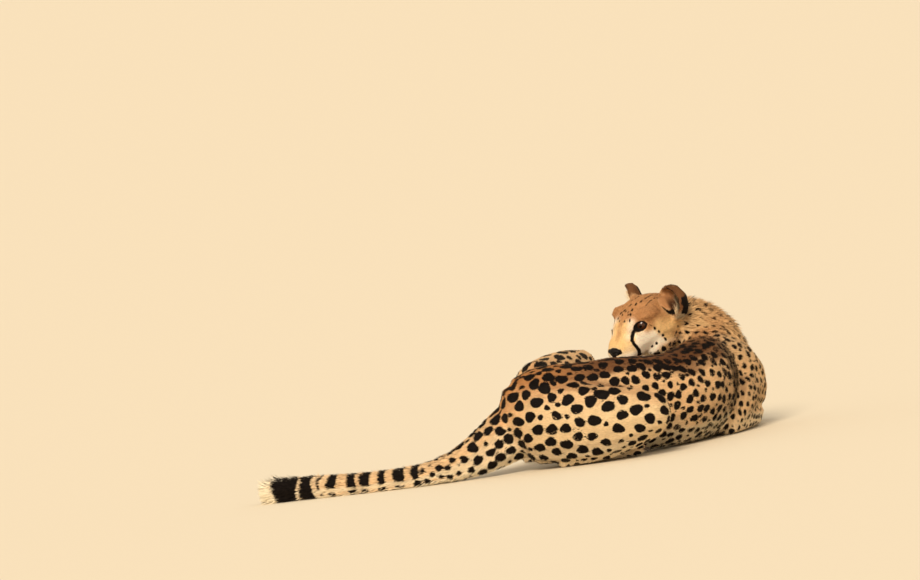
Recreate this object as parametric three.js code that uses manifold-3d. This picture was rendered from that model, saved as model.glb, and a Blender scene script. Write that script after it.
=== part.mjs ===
// A cheetah at rest, life size: lying on its right hip and its elbows, looking back over its own back.
// Millimetres, +Z up, floor at Z = 0. The tail points to -X and the forelegs to +Y.
import * as THREE from "three";
import { mergeVertices } from "three/addons/utils/BufferGeometryUtils.js";
import Module from "manifold-3d";

const wasm = await Module();
wasm.setup();

// ---------- driving sizes ----------
const GAP = 0.3; // the thin cut between two neighbouring parts
// faces round each part
const SIDES = { trunk: 16, neck: 11, head: 13, thigh: 10, limb: 7, foot: 7, tail: 8 };
const HEAD = { at: [24, 300, 265], heading: 225, pitch: 10, roll: -7 };
const EYE = { radius: 16.5, at: [1, 30, 7], outward: 28, lids: [10, 15, 10.5], lidReach: 1.05 };
const EAR = {
  base: [-76, 50, -2], height: 77, wall: 5, sunk: 4, mouth: 0.42,
  left: { width: 44, depth: 29, lean: 12, tilt: -6, turn: -12 },
  right: { width: 40, depth: 21, lean: 25, tilt: 8, turn: 45 }, // pricked further back, so its cup is flatter
};
const TOE = { long: 24, high: 17, wide: 0.36, apart: 0.58, spread: 5, middle: 16, reach: [0.95, 0.55] };
const CLAW = { long: 11, thick: 3, hidden: 7, top: 15, point: 8 };

const COAT = "#c98d55";
const PALE_COAT = "#e6c592";
const NOSE_LEATHER = "#1b1310";
const EYE_BROWN = "#3a2413";
const CLAW_HORN = "#4a3a2c";

// ---------- shape helpers ----------
const vec = (p) => new THREE.Vector3(...p);
const rad = THREE.MathUtils.degToRad;

// A closed mesh as a manifold-3d solid.
function solidOf(geometry) {
  const bare = geometry.index ? geometry.toNonIndexed() : geometry.clone();
  bare.deleteAttribute("normal");
  bare.deleteAttribute("uv");
  const merged = mergeVertices(bare, 1e-4);
  return new wasm.Manifold(
    new wasm.Mesh({
      numProp: 3,
      vertProperties: merged.attributes.position.array,
      triVerts: new Uint32Array(merged.index.array),
    }),
  );
}

function ellipsoid(at, [a, b, c], detail = 12, turn = [0, 0, 0]) {
  const ball = new THREE.SphereGeometry(1, detail, Math.round(detail * 0.6));
  const place = new THREE.Matrix4().compose(
    vec(at),
    new THREE.Quaternion().setFromEuler(new THREE.Euler(...turn.map(rad), "ZYX")),
    new THREE.Vector3(a, b, c),
  );
  return solidOf(ball.applyMatrix4(place));
}

// Numbers between the stations, as smooth as the path itself.
function blend(stations, key, t) {
  const line = stations.map((s, i) => new THREE.Vector3(i, s[key], 0));
  return new THREE.CatmullRomCurve3(line).getPoint(t).y;
}

// A closed body swept through stations. Each has a place, a half width, and a height up and down
// from the path. back is the upper side's direction at the start, and lean turns it about the path.
// stiff keeps the sections of a tight bend from crossing, by turning them towards the body's chord.
function sweep(stations, options) {
  const { sides, rings, back = [0, 0, 1], square = 2, dome = [0.6, 0.6] } = options;
  const { stiff = 0, caps = 3, grow = 0 } = options;
  const full = stations.map(([at, wide, up, down = up, lean = 0]) => ({
    at: vec(at), wide: wide + grow, up: up + grow, down: down + grow, lean,
  }));
  const path = new THREE.CatmullRomCurve3(full.map((s) => s.at), false, "centripetal");
  const chord = path.getPoint(1).sub(path.getPoint(0)).normalize();
  const loops = [];
  const carried = vec(back); // the upper side is carried along the path without a twist
  const addRing = (t, scale, shift) => {
    const along = path.getTangent(t).lerp(chord, stiff).normalize();
    carried.addScaledVector(along, -carried.dot(along)).normalize();
    const upper = carried.clone().applyAxisAngle(along, rad(blend(full, "lean", t)));
    const side = new THREE.Vector3().crossVectors(along, upper);
    const centre = path.getPoint(t).addScaledVector(along, shift);
    const [wide, up, down] = ["wide", "up", "down"].map((key) => blend(full, key, t) * scale);
    const loop = [];
    for (let i = 0; i < sides; i++) {
      const turn = (2 * Math.PI * i) / sides;
      const [c, s] = [Math.cos(turn), Math.sin(turn)];
      const x = Math.sign(c) * Math.abs(c) ** (2 / square) * wide;
      const z = Math.sign(s) * Math.abs(s) ** (2 / square) * (s > 0 ? up : down);
      loop.push(centre.clone().addScaledVector(side, x).addScaledVector(upper, z));
    }
    loops.push(loop);
  };
  const domeRings = Array.from({ length: caps }, (_, i) => (i + 1) / (caps + 0.6));
  const radius = (t) => (blend(full, "wide", t) + blend(full, "up", t)) / 2;
  for (const part of domeRings) {
    addRing(0, Math.sin((part * Math.PI) / 2), -radius(0) * dome[0] * Math.cos((part * Math.PI) / 2));
  }
  for (let i = 0; i <= rings; i++) addRing(i / rings, 1, 0);
  for (const part of [...domeRings].reverse()) {
    addRing(1, Math.sin((part * Math.PI) / 2), radius(1) * dome[1] * Math.cos((part * Math.PI) / 2));
  }
  const poles = [
    path.getPoint(0).addScaledVector(path.getTangent(0), -radius(0) * dome[0]),
    path.getPoint(1).addScaledVector(path.getTangent(1), radius(1) * dome[1]),
  ];
  const points = [...loops.flat(), ...poles].flatMap((p) => [p.x, p.y, p.z]);
  const faces = [];
  const last = (loops.length - 1) * sides;
  for (let i = 0; i < sides; i++) {
    const next = (i + 1) % sides;
    for (let r = 0; r < last; r += sides) {
      faces.push(r + i, r + next, r + sides + i, r + next, r + sides + next, r + sides + i);
    }
    faces.push(last + sides, next, i, last + sides + 1, last + i, last + next);
  }
  const geometry = new THREE.BufferGeometry();
  geometry.setAttribute("position", new THREE.Float32BufferAttribute(points, 3));
  geometry.setIndex(faces);
  const made = solidOf(geometry);
  return made.volume() < 0 ? solidOf(flipped(geometry)) : made;
}

function flipped(geometry) {
  const turned = geometry.clone();
  turned.setIndex([...geometry.index.array].reverse());
  return turned;
}

const joined = (solids) => solids.reduce((sum, solid) => sum.add(solid));

// ---------- trunk, neck and tail ----------
// place, half width, height up, height down, lean of the back towards -Y in degrees
const TRUNK = [
  [[-258, 1, 119], 66, 78, 88, 25],
  [[-232, 5, 122], 86, 99, 104, 26],
  [[-188, 12, 120], 96, 109, 110, 27],
  [[-118, 30, 112], 89, 114, 106, 27],
  [[-45, 56, 107], 82, 122, 102, 26],
  [[28, 94, 106], 84, 109, 104, 24],
  [[95, 150, 109], 91, 99, 109, 18],
  [[144, 228, 112], 88, 113, 112, 12],
  [[170, 318, 115], 72, 108, 113, 8],
  [[184, 392, 120], 56, 84, 98, 4],
];
const trunk = (grow) => sweep(TRUNK, { sides: SIDES.trunk, rings: 14, dome: [0.5, 0.55], caps: 2, grow });

// The neck turns back on itself so sharply that it is made in two bends, the lower and the upper.
const NECK = [
  [
    [[206, 358, 120], 64, 74],
    [[215, 396, 160], 58, 66],
    [[208, 410, 196], 56, 61],
  ],
  [
    [[214, 404, 184], 56, 61],
    [[196, 410, 214], 56, 60],
    [[166, 400, 241], 55, 59],
    [[124, 376, 257], 55, 60],
  ],
];
const neck = (grow) =>
  joined(
    NECK.map((bend) =>
      sweep(bend, {
        sides: SIDES.neck, rings: 4, back: [-0.4, -0.8, 0.4], dome: [0.3, 0.4], stiff: 0.5, caps: 1, grow,
      }),
    ),
  );

const TAIL = [
  [[-258, 12, 132], 54, 38, 112],
  [[-300, 9, 106], 46, 35, 92],
  [[-352, 4, 73], 35, 30, 69],
  [[-405, 6, 45], 27, 27, 43],
  [[-470, 18, 27], 24, 25],
  [[-545, 42, 22.5], 23, 24.5],
  [[-635, 84, 22.5], 23.5, 24.5],
  [[-725, 128, 25], 26, 27],
  [[-790, 158, 27], 29, 29],
  [[-818, 171, 26], 28, 28],
];
const tail = (grow) => sweep(TAIL, { sides: SIDES.tail, rings: 15, dome: [0.4, 1.15], grow });

// ---------- hind legs ----------
const thighRight = (grow) =>
  sweep(
    [
      [[-216, -16, 114], 60, 88, 102],
      [[-140, -50, 107], 60, 85, 97],
      [[-70, -72, 99], 54, 72, 86],
      [[0, -84, 97], 46, 62, 66],
      [[37, -90, 97], 37, 47, 47],
    ],
    { sides: SIDES.thigh + 2, rings: 7, back: [0, -0.15, 1], dome: [0.7, 0.95], grow },
  );
const shankRight = (grow) =>
  sweep(
    [
      [[38, -76, 78], 36, 36],
      [[-34, -56, 50], 34, 36],
      [[-106, -40, 35], 28, 31],
      [[-166, -28, 29], 20, 25],
    ],
    { sides: SIDES.limb, rings: 4, caps: 2, grow },
  );
const thighLeft = (grow) =>
  sweep(
    [
      [[-206, 60, 160], 60, 80, 84],
      [[-172, 114, 178], 58, 67, 74],
      [[-132, 168, 193], 48, 52, 56],
      [[-106, 204, 199], 37, 39, 40],
    ],
    { sides: SIDES.thigh + 2, rings: 6, back: [0.3, -0.2, 1], dome: [0.5, 0.95], grow },
  );
const shankLeft = (grow) =>
  sweep(
    [
      [[-104, 210, 186], 36, 37],
      [[-160, 238, 126], 36, 38],
      [[-212, 264, 70], 27, 30],
      [[-246, 282, 38], 20, 25],
    ],
    { sides: SIDES.limb, rings: 4, back: [-0.5, -0.4, 0.6], caps: 2, grow },
  );

// ---------- forelegs ----------
const shoulderRight = (grow) =>
  sweep(
    [
      [[204, 316, 186], 30, 44],
      [[236, 362, 156], 43, 58],
      [[256, 404, 114], 45, 50],
    ],
    { sides: SIDES.thigh, rings: 4, back: [-0.2, 0.9, 0.4], dome: [0.8, 0.8], caps: 2, grow },
  );
const upperArmRight = (grow) =>
  sweep(
    [
      [[256, 398, 94], 47, 60],
      [[236, 346, 94], 48, 62, 60],
      [[222, 298, 62], 46, 48],
      [[200, 258, 42], 35, 36],
    ],
    { sides: SIDES.thigh, rings: 4, dome: [0.6, 0.8], caps: 2, grow },
  );
const forearmRight = (grow) =>
  sweep(
    [
      [[200, 256, 38], 34, 37],
      [[228, 322, 36], 35, 35],
      [[254, 398, 33], 32, 32],
      [[256, 462, 26], 24, 25],
    ],
    { sides: SIDES.limb, rings: 4, caps: 2, grow },
  );
const shoulderLeft = (grow) =>
  sweep(
    [
      [[152, 334, 184], 28, 42],
      [[130, 380, 154], 38, 54],
      [[116, 426, 114], 42, 50],
    ],
    { sides: SIDES.thigh, rings: 4, back: [0.2, 0.9, 0.4], dome: [0.8, 0.8], caps: 2, grow },
  );
const upperArmLeft = (grow) =>
  sweep(
    [
      [[112, 424, 102], 44, 52],
      [[98, 376, 92], 46, 62, 60],
      [[80, 318, 62], 40, 48],
      [[70, 284, 42], 34, 36],
    ],
    { sides: SIDES.thigh, rings: 4, dome: [0.6, 0.8], caps: 2, grow },
  );
const forearmLeft = (grow) =>
  sweep(
    [
      [[70, 282, 38], 34, 37],
      [[82, 352, 36], 33, 35],
      [[106, 436, 29], 26, 28],
      [[128, 500, 26], 23, 25],
    ],
    { sides: SIDES.limb, rings: 4, caps: 2, grow },
  );

// ---------- feet: from hock or wrist forwards, ending in four toes side by side ----------
const FEET = {
  hind_right: { path: [[-172, -24, 27], [-86, -8, 22], [-30, 4, 19]], wide: 25 },
  hind_left: { path: [[-249, 288, 30], [-144, 310, 22], [-50, 332, 19]], wide: 25 },
  fore_right: { path: [[256, 466, 25], [254, 520, 21], [250, 548, 19]], wide: 28 },
  fore_left: { path: [[130, 506, 25], [149, 562, 21], [158, 588, 19]], wide: 29 },
};
const TOES = [-1.5, -0.5, 0.5, 1.5];

// Where each toe's middle is, and the way that it points.
function toesOf({ path, wide }) {
  const [from, to] = path.slice(-2).map(vec);
  const ahead = to.clone().sub(from).setZ(0).normalize();
  const across = new THREE.Vector3(-ahead.y, ahead.x, 0);
  return TOES.map((step) => {
    const along = TOE.long * TOE.reach[Math.abs(step) < 1 ? 0 : 1];
    const at = to.clone().addScaledVector(ahead, along);
    at.addScaledVector(across, step * wide * TOE.apart).setZ(TOE.middle);
    const way = ahead.clone().applyAxisAngle(new THREE.Vector3(0, 0, 1), rad(step * TOE.spread));
    return { at, way, turn: THREE.MathUtils.radToDeg(Math.atan2(way.y, way.x)) };
  });
}
function foot(name, grow) {
  const { path, wide } = FEET[name];
  const heel = path[0][2] - 6;
  const stations = path.map((at, i) => [at, wide * (0.7 + i * 0.13), i ? at[2] - 1 : heel, at[2] + 2]);
  const toes = toesOf(FEET[name]).map(({ at, turn }) =>
    ellipsoid(at.toArray(), [TOE.long + grow, wide * TOE.wide + grow, TOE.high + grow], 5, [0, 0, turn]),
  );
  const sole = sweep(stations, { sides: SIDES.foot, rings: 2, dome: [0.7, 0.6], caps: 1, grow });
  return joined([sole, ...toes]);
}

// A claw is a short hook that leaves the top of its toe and bends down.
function claw(name, index, grow) {
  const { at, way } = toesOf(FEET[name])[index];
  const place = (along, z) => at.clone().addScaledVector(way, along).setZ(z).toArray();
  const { long, thick, hidden, top, point: low } = CLAW;
  const start = TOE.long - hidden;
  return sweep(
    [
      [place(start, top), thick, thick],
      [place(start + long * 0.6, top - 1), thick * 0.8, thick * 0.85],
      [place(start + long, low), thick * 0.3, thick * 0.35],
    ],
    { sides: 4, rings: 2, caps: 0, dome: [0.3, 0.6], grow },
  );
}

// ---------- head: +X to the nose, +Y to its left, its origin between the eyes ----------
const headPlace = new THREE.Matrix4().compose(
  vec(HEAD.at),
  new THREE.Quaternion().setFromEuler(
    new THREE.Euler(rad(HEAD.roll), rad(HEAD.pitch), rad(HEAD.heading), "ZYX"),
  ),
  new THREE.Vector3(1, 1, 1),
);
const placed = (solid) => solid.transform(headPlace.elements);

// distance ahead of the eyes, half width, top, bottom
const PROFILE = [
  [66, 26, -24, -63],
  [56, 33, -15, -69],
  [42, 38, -4, -72],
  [28, 43, 8, -73],
  [14, 50, 25, -73],
  [0, 58, 39, -76],
  [-20, 64, 51, -80],
  [-45, 67, 56, -82],
  [-70, 65, 56, -79],
  [-95, 58, 47, -70],
  [-112, 48, 35, -58],
];
const bothSides = (make) => [1, -1].map(make);

function head(grow) {
  const stations = PROFILE.map(([x, wide, top, bottom]) => {
    const middle = top - (top - bottom) * 0.52;
    return [[x, 0, middle], wide, top - middle, middle - bottom];
  });
  const lump = (x, y, z, a, b, c, detail) => ellipsoid([x, y, z], [a + grow, b + grow, c + grow], detail);
  const skull = sweep(stations, {
    sides: SIDES.head, rings: 8, square: 2.25, dome: [0.5, 0.6], caps: 2, grow,
  });
  const lips = bothSides((side) => lump(47, side * 18, -47, 24, 18, 17, 7));
  const cheeks = bothSides((side) => lump(-36, side * 40, -46, 48, 28, 36, 7));
  const brows = bothSides((side) => lump(-15, side * 33, 26, 35, 27, 18, 6));
  const chin = lump(48, 0, -62, 22, 19, 12, 5);
  return joined([skull, ...lips, ...cheeks, ...brows, chin]);
}

const eyePlace = (side) => [EYE.at[0], side * EYE.at[1], EYE.at[2]];
const eyeBall = (side, grow = 0) =>
  ellipsoid(eyePlace(side), Array(3).fill(EYE.radius + grow), 10);
function lidOpening(side) {
  const out = rad(EYE.outward * side);
  const [x, y, z] = eyePlace(side);
  const reach = EYE.radius * EYE.lidReach;
  const at = [x + Math.cos(out) * reach, y + Math.sin(out) * reach, z];
  return ellipsoid(at, EYE.lids, 8, [0, 0, EYE.outward * side]);
}
const noseLeather = (grow) =>
  joined([
    ellipsoid([71, 0, -37], [10 + grow, 17 + grow, 10 + grow], 8),
    ellipsoid([74, 0, -46], [6 + grow, 6 + grow, 9 + grow], 6),
  ]);

// An ear is a cup with a rounded tip, whose mouth faces forwards and a little outwards.
function ear(side, grow) {
  const { base, height, wall, sunk, mouth } = EAR;
  const { width, depth, lean, tilt, turn } = side > 0 ? EAR.left : EAR.right;
  const half = height / 2;
  const outer = ellipsoid([0, 0, half - sunk], [depth + grow, width + grow, half + sunk + grow], 10);
  const inner = ellipsoid([depth * 0.55, 0, half], [depth * 1.25, width - wall, half - wall], 8);
  const place = new THREE.Matrix4().compose(
    new THREE.Vector3(base[0], side * base[1], base[2]),
    new THREE.Quaternion().setFromEuler(
      new THREE.Euler(rad(-side * lean), rad(tilt), rad(side * turn), "ZYX"),
    ),
    new THREE.Vector3(1, 1, 1),
  );
  return outer.subtract(inner).trimByPlane([-1, 0, 0], -depth * mouth).transform(place.elements);
}

// ---------- the whole animal, each part cut back from those listed before it ----------
const above = (solid) => solid.trimByPlane([0, 0, 1], 0);

// Cuts a body in lengths across its path: each cut is a point on the path and a direction along it.
function lengths(solid, cuts) {
  const pieces = [];
  let rest = solid;
  for (const [at, along] of cuts) {
    const normal = vec(along).normalize();
    const offset = vec(at).dot(normal);
    pieces.push(rest.trimByPlane(normal.clone().negate().toArray(), -offset + GAP / 2));
    rest = rest.trimByPlane(normal.toArray(), offset + GAP / 2);
  }
  return [...pieces, rest];
}

const flesh = [
  { name: "head", make: (g) => placed(head(g)), coat: COAT },
  { name: "trunk", make: trunk, coat: COAT },
  { name: "neck", make: neck, coat: COAT },
  { name: "thigh_right", make: thighRight, coat: PALE_COAT },
  { name: "thigh_left", make: thighLeft, coat: COAT },
  { name: "shoulder_right", make: shoulderRight, coat: COAT },
  { name: "shoulder_left", make: shoulderLeft, coat: COAT },
  { name: "upper_arm_right", make: upperArmRight, coat: COAT },
  { name: "upper_arm_left", make: upperArmLeft, coat: COAT },
  { name: "shank_right", make: shankRight, coat: PALE_COAT },
  { name: "shank_left", make: shankLeft, coat: COAT },
  { name: "forearm_right", make: forearmRight, coat: PALE_COAT },
  { name: "forearm_left", make: forearmLeft, coat: PALE_COAT },
  ...Object.keys(FEET).map((name) => (
    { name: name + "_foot", make: (g) => foot(name, g), coat: PALE_COAT }
  )),
  { name: "tail", make: tail, coat: COAT },
];
const PARTED = {
  trunk: {
    names: ["rump", "loins", "chest"],
    cuts: [
      [[-82, 42, 0], [0.93, 0.36, 0]],
      [[66, 124, 0], [0.72, 0.69, 0]],
    ],
  },
  tail: {
    names: ["tail_base", "tail_middle", "tail_end", "tail_tip"],
    cuts: [
      [[-400, 5, 46], [-0.9, 0.05, -0.42]],
      [[-560, 48, 0], [-0.91, 0.41, 0]],
      [[-700, 116, 0], [-0.9, 0.43, 0]],
    ],
  },
};

const model = new THREE.Group();

function addMesh(name, solid, color, roughness = 0.85) {
  const { numProp, vertProperties, triVerts } = solid.getMesh();
  const geometry = new THREE.BufferGeometry();
  const points = new Float32Array((vertProperties.length / numProp) * 3);
  for (let i = 0; i < points.length / 3; i++) {
    points.set(vertProperties.subarray(i * numProp, i * numProp + 3), i * 3);
  }
  geometry.setAttribute("position", new THREE.BufferAttribute(points, 3));
  geometry.setIndex(new THREE.BufferAttribute(triVerts, 1));
  geometry.computeVertexNormals();
  const material = new THREE.MeshStandardMaterial({ color, roughness, metalness: 0 });
  const mesh = new THREE.Mesh(geometry, material);
  mesh.name = name;
  model.add(mesh);
}

const largest = (solid) =>
  solid.decompose().reduce((best, piece) => (piece.volume() > best.volume() ? piece : best));

for (const [i, part] of flesh.entries()) {
  let solid = above(part.make(0));
  for (const other of flesh.slice(0, i)) solid = solid.subtract(other.make(GAP));
  if (part.name === "head") {
    for (const side of [1, -1]) {
      solid = solid.subtract(placed(eyeBall(side, GAP))).subtract(placed(lidOpening(side)));
    }
    solid = solid.subtract(placed(noseLeather(GAP)));
  }
  if (part.name.endsWith("_foot")) {
    const foot = part.name.replace("_foot", "");
    for (const index of TOES.keys()) solid = solid.subtract(claw(foot, index, GAP));
  }
  const { names, cuts } = PARTED[part.name] ?? { names: [part.name], cuts: [] };
  lengths(largest(solid), cuts).forEach((piece, n) => addMesh(names[n], largest(piece), part.coat));
}
addMesh("nose", placed(noseLeather(0)), NOSE_LEATHER, 0.5);
for (const [side, name] of [[1, "left"], [-1, "right"]]) {
  addMesh("eye_" + name, placed(eyeBall(side)), EYE_BROWN, 0.1);
  addMesh("ear_" + name, largest(placed(ear(side, 0).subtract(head(GAP)))), COAT);
}
for (const name of Object.keys(FEET)) {
  for (const index of TOES.keys()) {
    addMesh(`claw_${name}_${index + 1}`, claw(name, index, 0), CLAW_HORN, 0.4);
  }
}

// The origin is the middle of the animal's bounding box, on the floor.
const middle = new THREE.Box3().setFromObject(model).getCenter(new THREE.Vector3());
model.position.set(-middle.x, -middle.y, 0);

export default model;
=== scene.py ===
import itertools
import math

import bpy
import numpy as np
from mathutils import Matrix, Vector
from mathutils.bvhtree import BVHTree


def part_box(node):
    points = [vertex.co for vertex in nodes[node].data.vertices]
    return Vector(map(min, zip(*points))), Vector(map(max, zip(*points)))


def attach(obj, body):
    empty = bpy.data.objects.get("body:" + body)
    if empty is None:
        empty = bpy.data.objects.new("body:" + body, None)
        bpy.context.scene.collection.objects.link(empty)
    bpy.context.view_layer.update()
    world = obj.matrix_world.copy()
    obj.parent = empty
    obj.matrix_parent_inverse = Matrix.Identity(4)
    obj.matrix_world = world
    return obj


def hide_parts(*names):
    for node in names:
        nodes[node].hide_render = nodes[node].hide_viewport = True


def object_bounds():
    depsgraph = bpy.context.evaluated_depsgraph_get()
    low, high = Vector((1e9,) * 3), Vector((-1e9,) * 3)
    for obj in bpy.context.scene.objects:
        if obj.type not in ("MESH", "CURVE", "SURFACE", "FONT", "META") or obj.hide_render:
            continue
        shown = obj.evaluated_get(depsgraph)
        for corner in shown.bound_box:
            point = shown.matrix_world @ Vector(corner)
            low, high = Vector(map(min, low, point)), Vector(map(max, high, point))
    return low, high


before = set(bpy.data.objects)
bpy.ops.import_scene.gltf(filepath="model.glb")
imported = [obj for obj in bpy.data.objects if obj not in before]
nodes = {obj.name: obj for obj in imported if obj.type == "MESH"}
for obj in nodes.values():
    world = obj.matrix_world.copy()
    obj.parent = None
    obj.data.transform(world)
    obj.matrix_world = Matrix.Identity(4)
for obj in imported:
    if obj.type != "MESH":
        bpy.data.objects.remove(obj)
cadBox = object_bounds()
mm = 0.001  # lengths below are in millimetres unless a line says otherwise
farOff = 30.0  # what stands for the distance to a mark when none is near
aLongWay = 1e3
fullTurn = 2 * math.pi


# sRGB hex to a linear colour
def hexColor(code):
    channels = [int(code[i:i + 2], 16) / 255 for i in (1, 3, 5)]
    return tuple(c / 12.92 if c <= 0.04045 else ((c + 0.055) / 1.055) ** 2.4 for c in channels) + (1.0,)


# adds a node, sets its own settings, and fills its inputs with numbers or with other nodes' outputs
def addNode(tree, kind, settings=None, inputs=None):
    node = tree.nodes.new(kind)
    for key, value in (settings or {}).items():
        setattr(node, key, value)
    for key, value in (inputs or {}).items():
        if isinstance(value, bpy.types.NodeSocket):
            tree.links.new(value, node.inputs[key])
        else:
            node.inputs[key].default_value = value
    return node


def readAttribute(tree, name, output="Fac"):
    return addNode(tree, "ShaderNodeAttribute", {"attribute_name": name}).outputs[output]


# a noise whose patches are about this many millimetres across, and the place it is read at
def addNoise(tree, place, size, detail):
    inputs = {"Vector": place, "Scale": 1 / (size * mm), "Detail": detail}
    return addNode(tree, "ShaderNodeTexNoise", None, inputs).outputs["Fac"]


def addMix(tree, share, first, second):
    inputs = {"Factor": share, "A": first, "B": second}
    return addNode(tree, "ShaderNodeMix", {"data_type": "RGBA"}, inputs).outputs["Result"]


def objectPlace(tree):
    return addNode(tree, "ShaderNodeTexCoord").outputs["Object"]


def newMaterial(name):
    material = bpy.data.materials.new(name)
    material.use_nodes = True
    tree = material.node_tree
    tree.nodes.clear()
    return material, tree


def finishMaterial(tree, inputs):
    shader = addNode(tree, "ShaderNodeBsdfPrincipled", None, inputs)
    addNode(tree, "ShaderNodeOutputMaterial", None, {"Surface": shader.outputs[0]})


def deselectAll():
    bpy.ops.object.select_all(action="DESELECT")


def makeActive(piece):
    deselectAll()
    piece.select_set(True)
    bpy.context.view_layer.objects.active = piece


def applyModifier(piece, kind, **settings):
    makeActive(piece)
    modifier = piece.modifiers.new(kind.title(), kind)
    for key, value in settings.items():
        setattr(modifier, key, value)
    bpy.ops.object.modifier_apply(modifier=modifier.name)


def editMesh(piece, *steps):
    makeActive(piece)
    bpy.ops.object.mode_set(mode="EDIT")
    bpy.ops.mesh.select_all(action="SELECT")
    for step, settings in steps:
        step(**settings)
    bpy.ops.object.mode_set(mode="OBJECT")


# vertex places in millimetres
def placesOf(mesh):
    flat = np.empty(len(mesh.vertices) * 3, np.float32)
    mesh.vertices.foreach_get("co", flat)
    return flat.reshape(-1, 3).astype(float) / mm


def movePlaces(mesh, places):
    mesh.vertices.foreach_set("co", (places * mm).astype(np.float32).ravel())
    mesh.update()


def normalsOf(mesh):
    flat = np.empty(len(mesh.vertices) * 3, np.float32)
    mesh.vertex_normals.foreach_get("vector", flat)
    return flat.reshape(-1, 3).astype(float)


def setAttribute(mesh, name, kind, values):
    layer = mesh.attributes.new(name, kind, "POINT")
    key = {"FLOAT": "value", "FLOAT_COLOR": "color"}[kind]
    layer.data.foreach_set(key, np.asarray(values, np.float32).ravel())


def unit(vectors):
    return vectors / np.maximum(np.linalg.norm(vectors, axis=-1, keepdims=True), 1e-9)


def smoothStep(low, high, value):
    t = np.clip((value - low) / (high - low), 0, 1)
    return t * t * (3 - 2 * t)


# slow noise from -1 to 1 at each place: a few sine waves in set directions
def softNoise(places, size, seed):
    draw = np.random.default_rng(seed)
    total = np.zeros(len(places))
    for _ in range(7):
        wave = unit(draw.normal(size=3)) * (fullTurn / size) * draw.uniform(0.6, 1.5)
        total += np.sin(places @ wave + draw.uniform(0, 6.28))
    return total / 3.0


# where the head is and how it is turned
head = {"at": (24, 300, 265), "heading": 225, "pitch": 10, "roll": -7, "eye": (1, 30, 7), "eyeRadius": 16.5,
        "nose": [((71, 0, -37), (10, 17, 10)), ((74, 0, -46), (6, 6, 9))]}
turns = [("Z", head["heading"]), ("Y", head["pitch"]), ("X", head["roll"])]
headTurn = np.eye(3)
for axis, degrees in turns:
    headTurn = headTurn @ np.array(Matrix.Rotation(math.radians(degrees), 3, axis))
eyeBoxes = [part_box("eye_left"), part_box("eye_right")]
eyeCentres = [np.array((low + high) / 2) / mm for low, high in eyeBoxes]
betweenEyes = sum(eyeCentres) / 2 - headTurn @ np.array((head["eye"][0], 0, head["eye"][2]))
shift = betweenEyes - np.array(head["at"])  # from the part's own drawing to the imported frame


def toHead(places):
    return (places - betweenEyes) @ headTurn


def fromHead(places):
    return np.asarray(places, float) @ headTurn.T + betweenEyes


# for each kind of coat: spot width and spacing, tuft length and width, depth of the coat, lift of the tips,
# blur of the spots, and how long the spots are for their width
looks = {
    "muzzle": (2.6, 7.5, 4.0, 1.0, 0.8, 0.22, 0.6, 1.1),
    "skull": (4.5, 11, 6.5, 1.2, 1.3, 0.26, 0.8, 1.2),
    "neck": (11, 17.5, 12, 1.9, 3.6, 0.42, 1.3, 1.45),
    "nape": (11.5, 18, 17, 2.0, 5.0, 0.58, 1.3, 1.55),
    "chest": (15.5, 21, 12.0, 1.9, 3.2, 0.42, 1.2, 0.92),
    "trunk": (18.5, 22.5, 10.0, 1.8, 2.3, 0.28, 0.9, 1.05),
    "rump": (22.5, 26, 10.5, 1.8, 2.3, 0.28, 0.9, 1.2),
    "thigh": (25, 31.5, 10.0, 1.8, 2.3, 0.26, 0.9, 1.1),
    "leg": (11.5, 17, 8.5, 1.5, 1.7, 0.26, 0.8, 1.25),
    "foot": (6.5, 12.5, 6, 1.3, 1.1, 0.24, 0.8, 1.3),
    "tailBase": (23, 27, 12, 2.0, 3.0, 0.32, 1.0, 1.15),
    "tail": (14, 20, 15, 2.1, 4.6, 0.42, 1.2, 1.1),
    "tailTip": (10, 20, 24, 2.0, 9.0, 0.46, 1.5, 1.1),
    "ear": (2.0, 60, 5.5, 1.1, 0.7, 0.22, 1.0, 1.1),
}
wantNames = ["spotWide", "spotGap", "long", "wide", "depth", "lift", "blur", "oval"]
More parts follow.
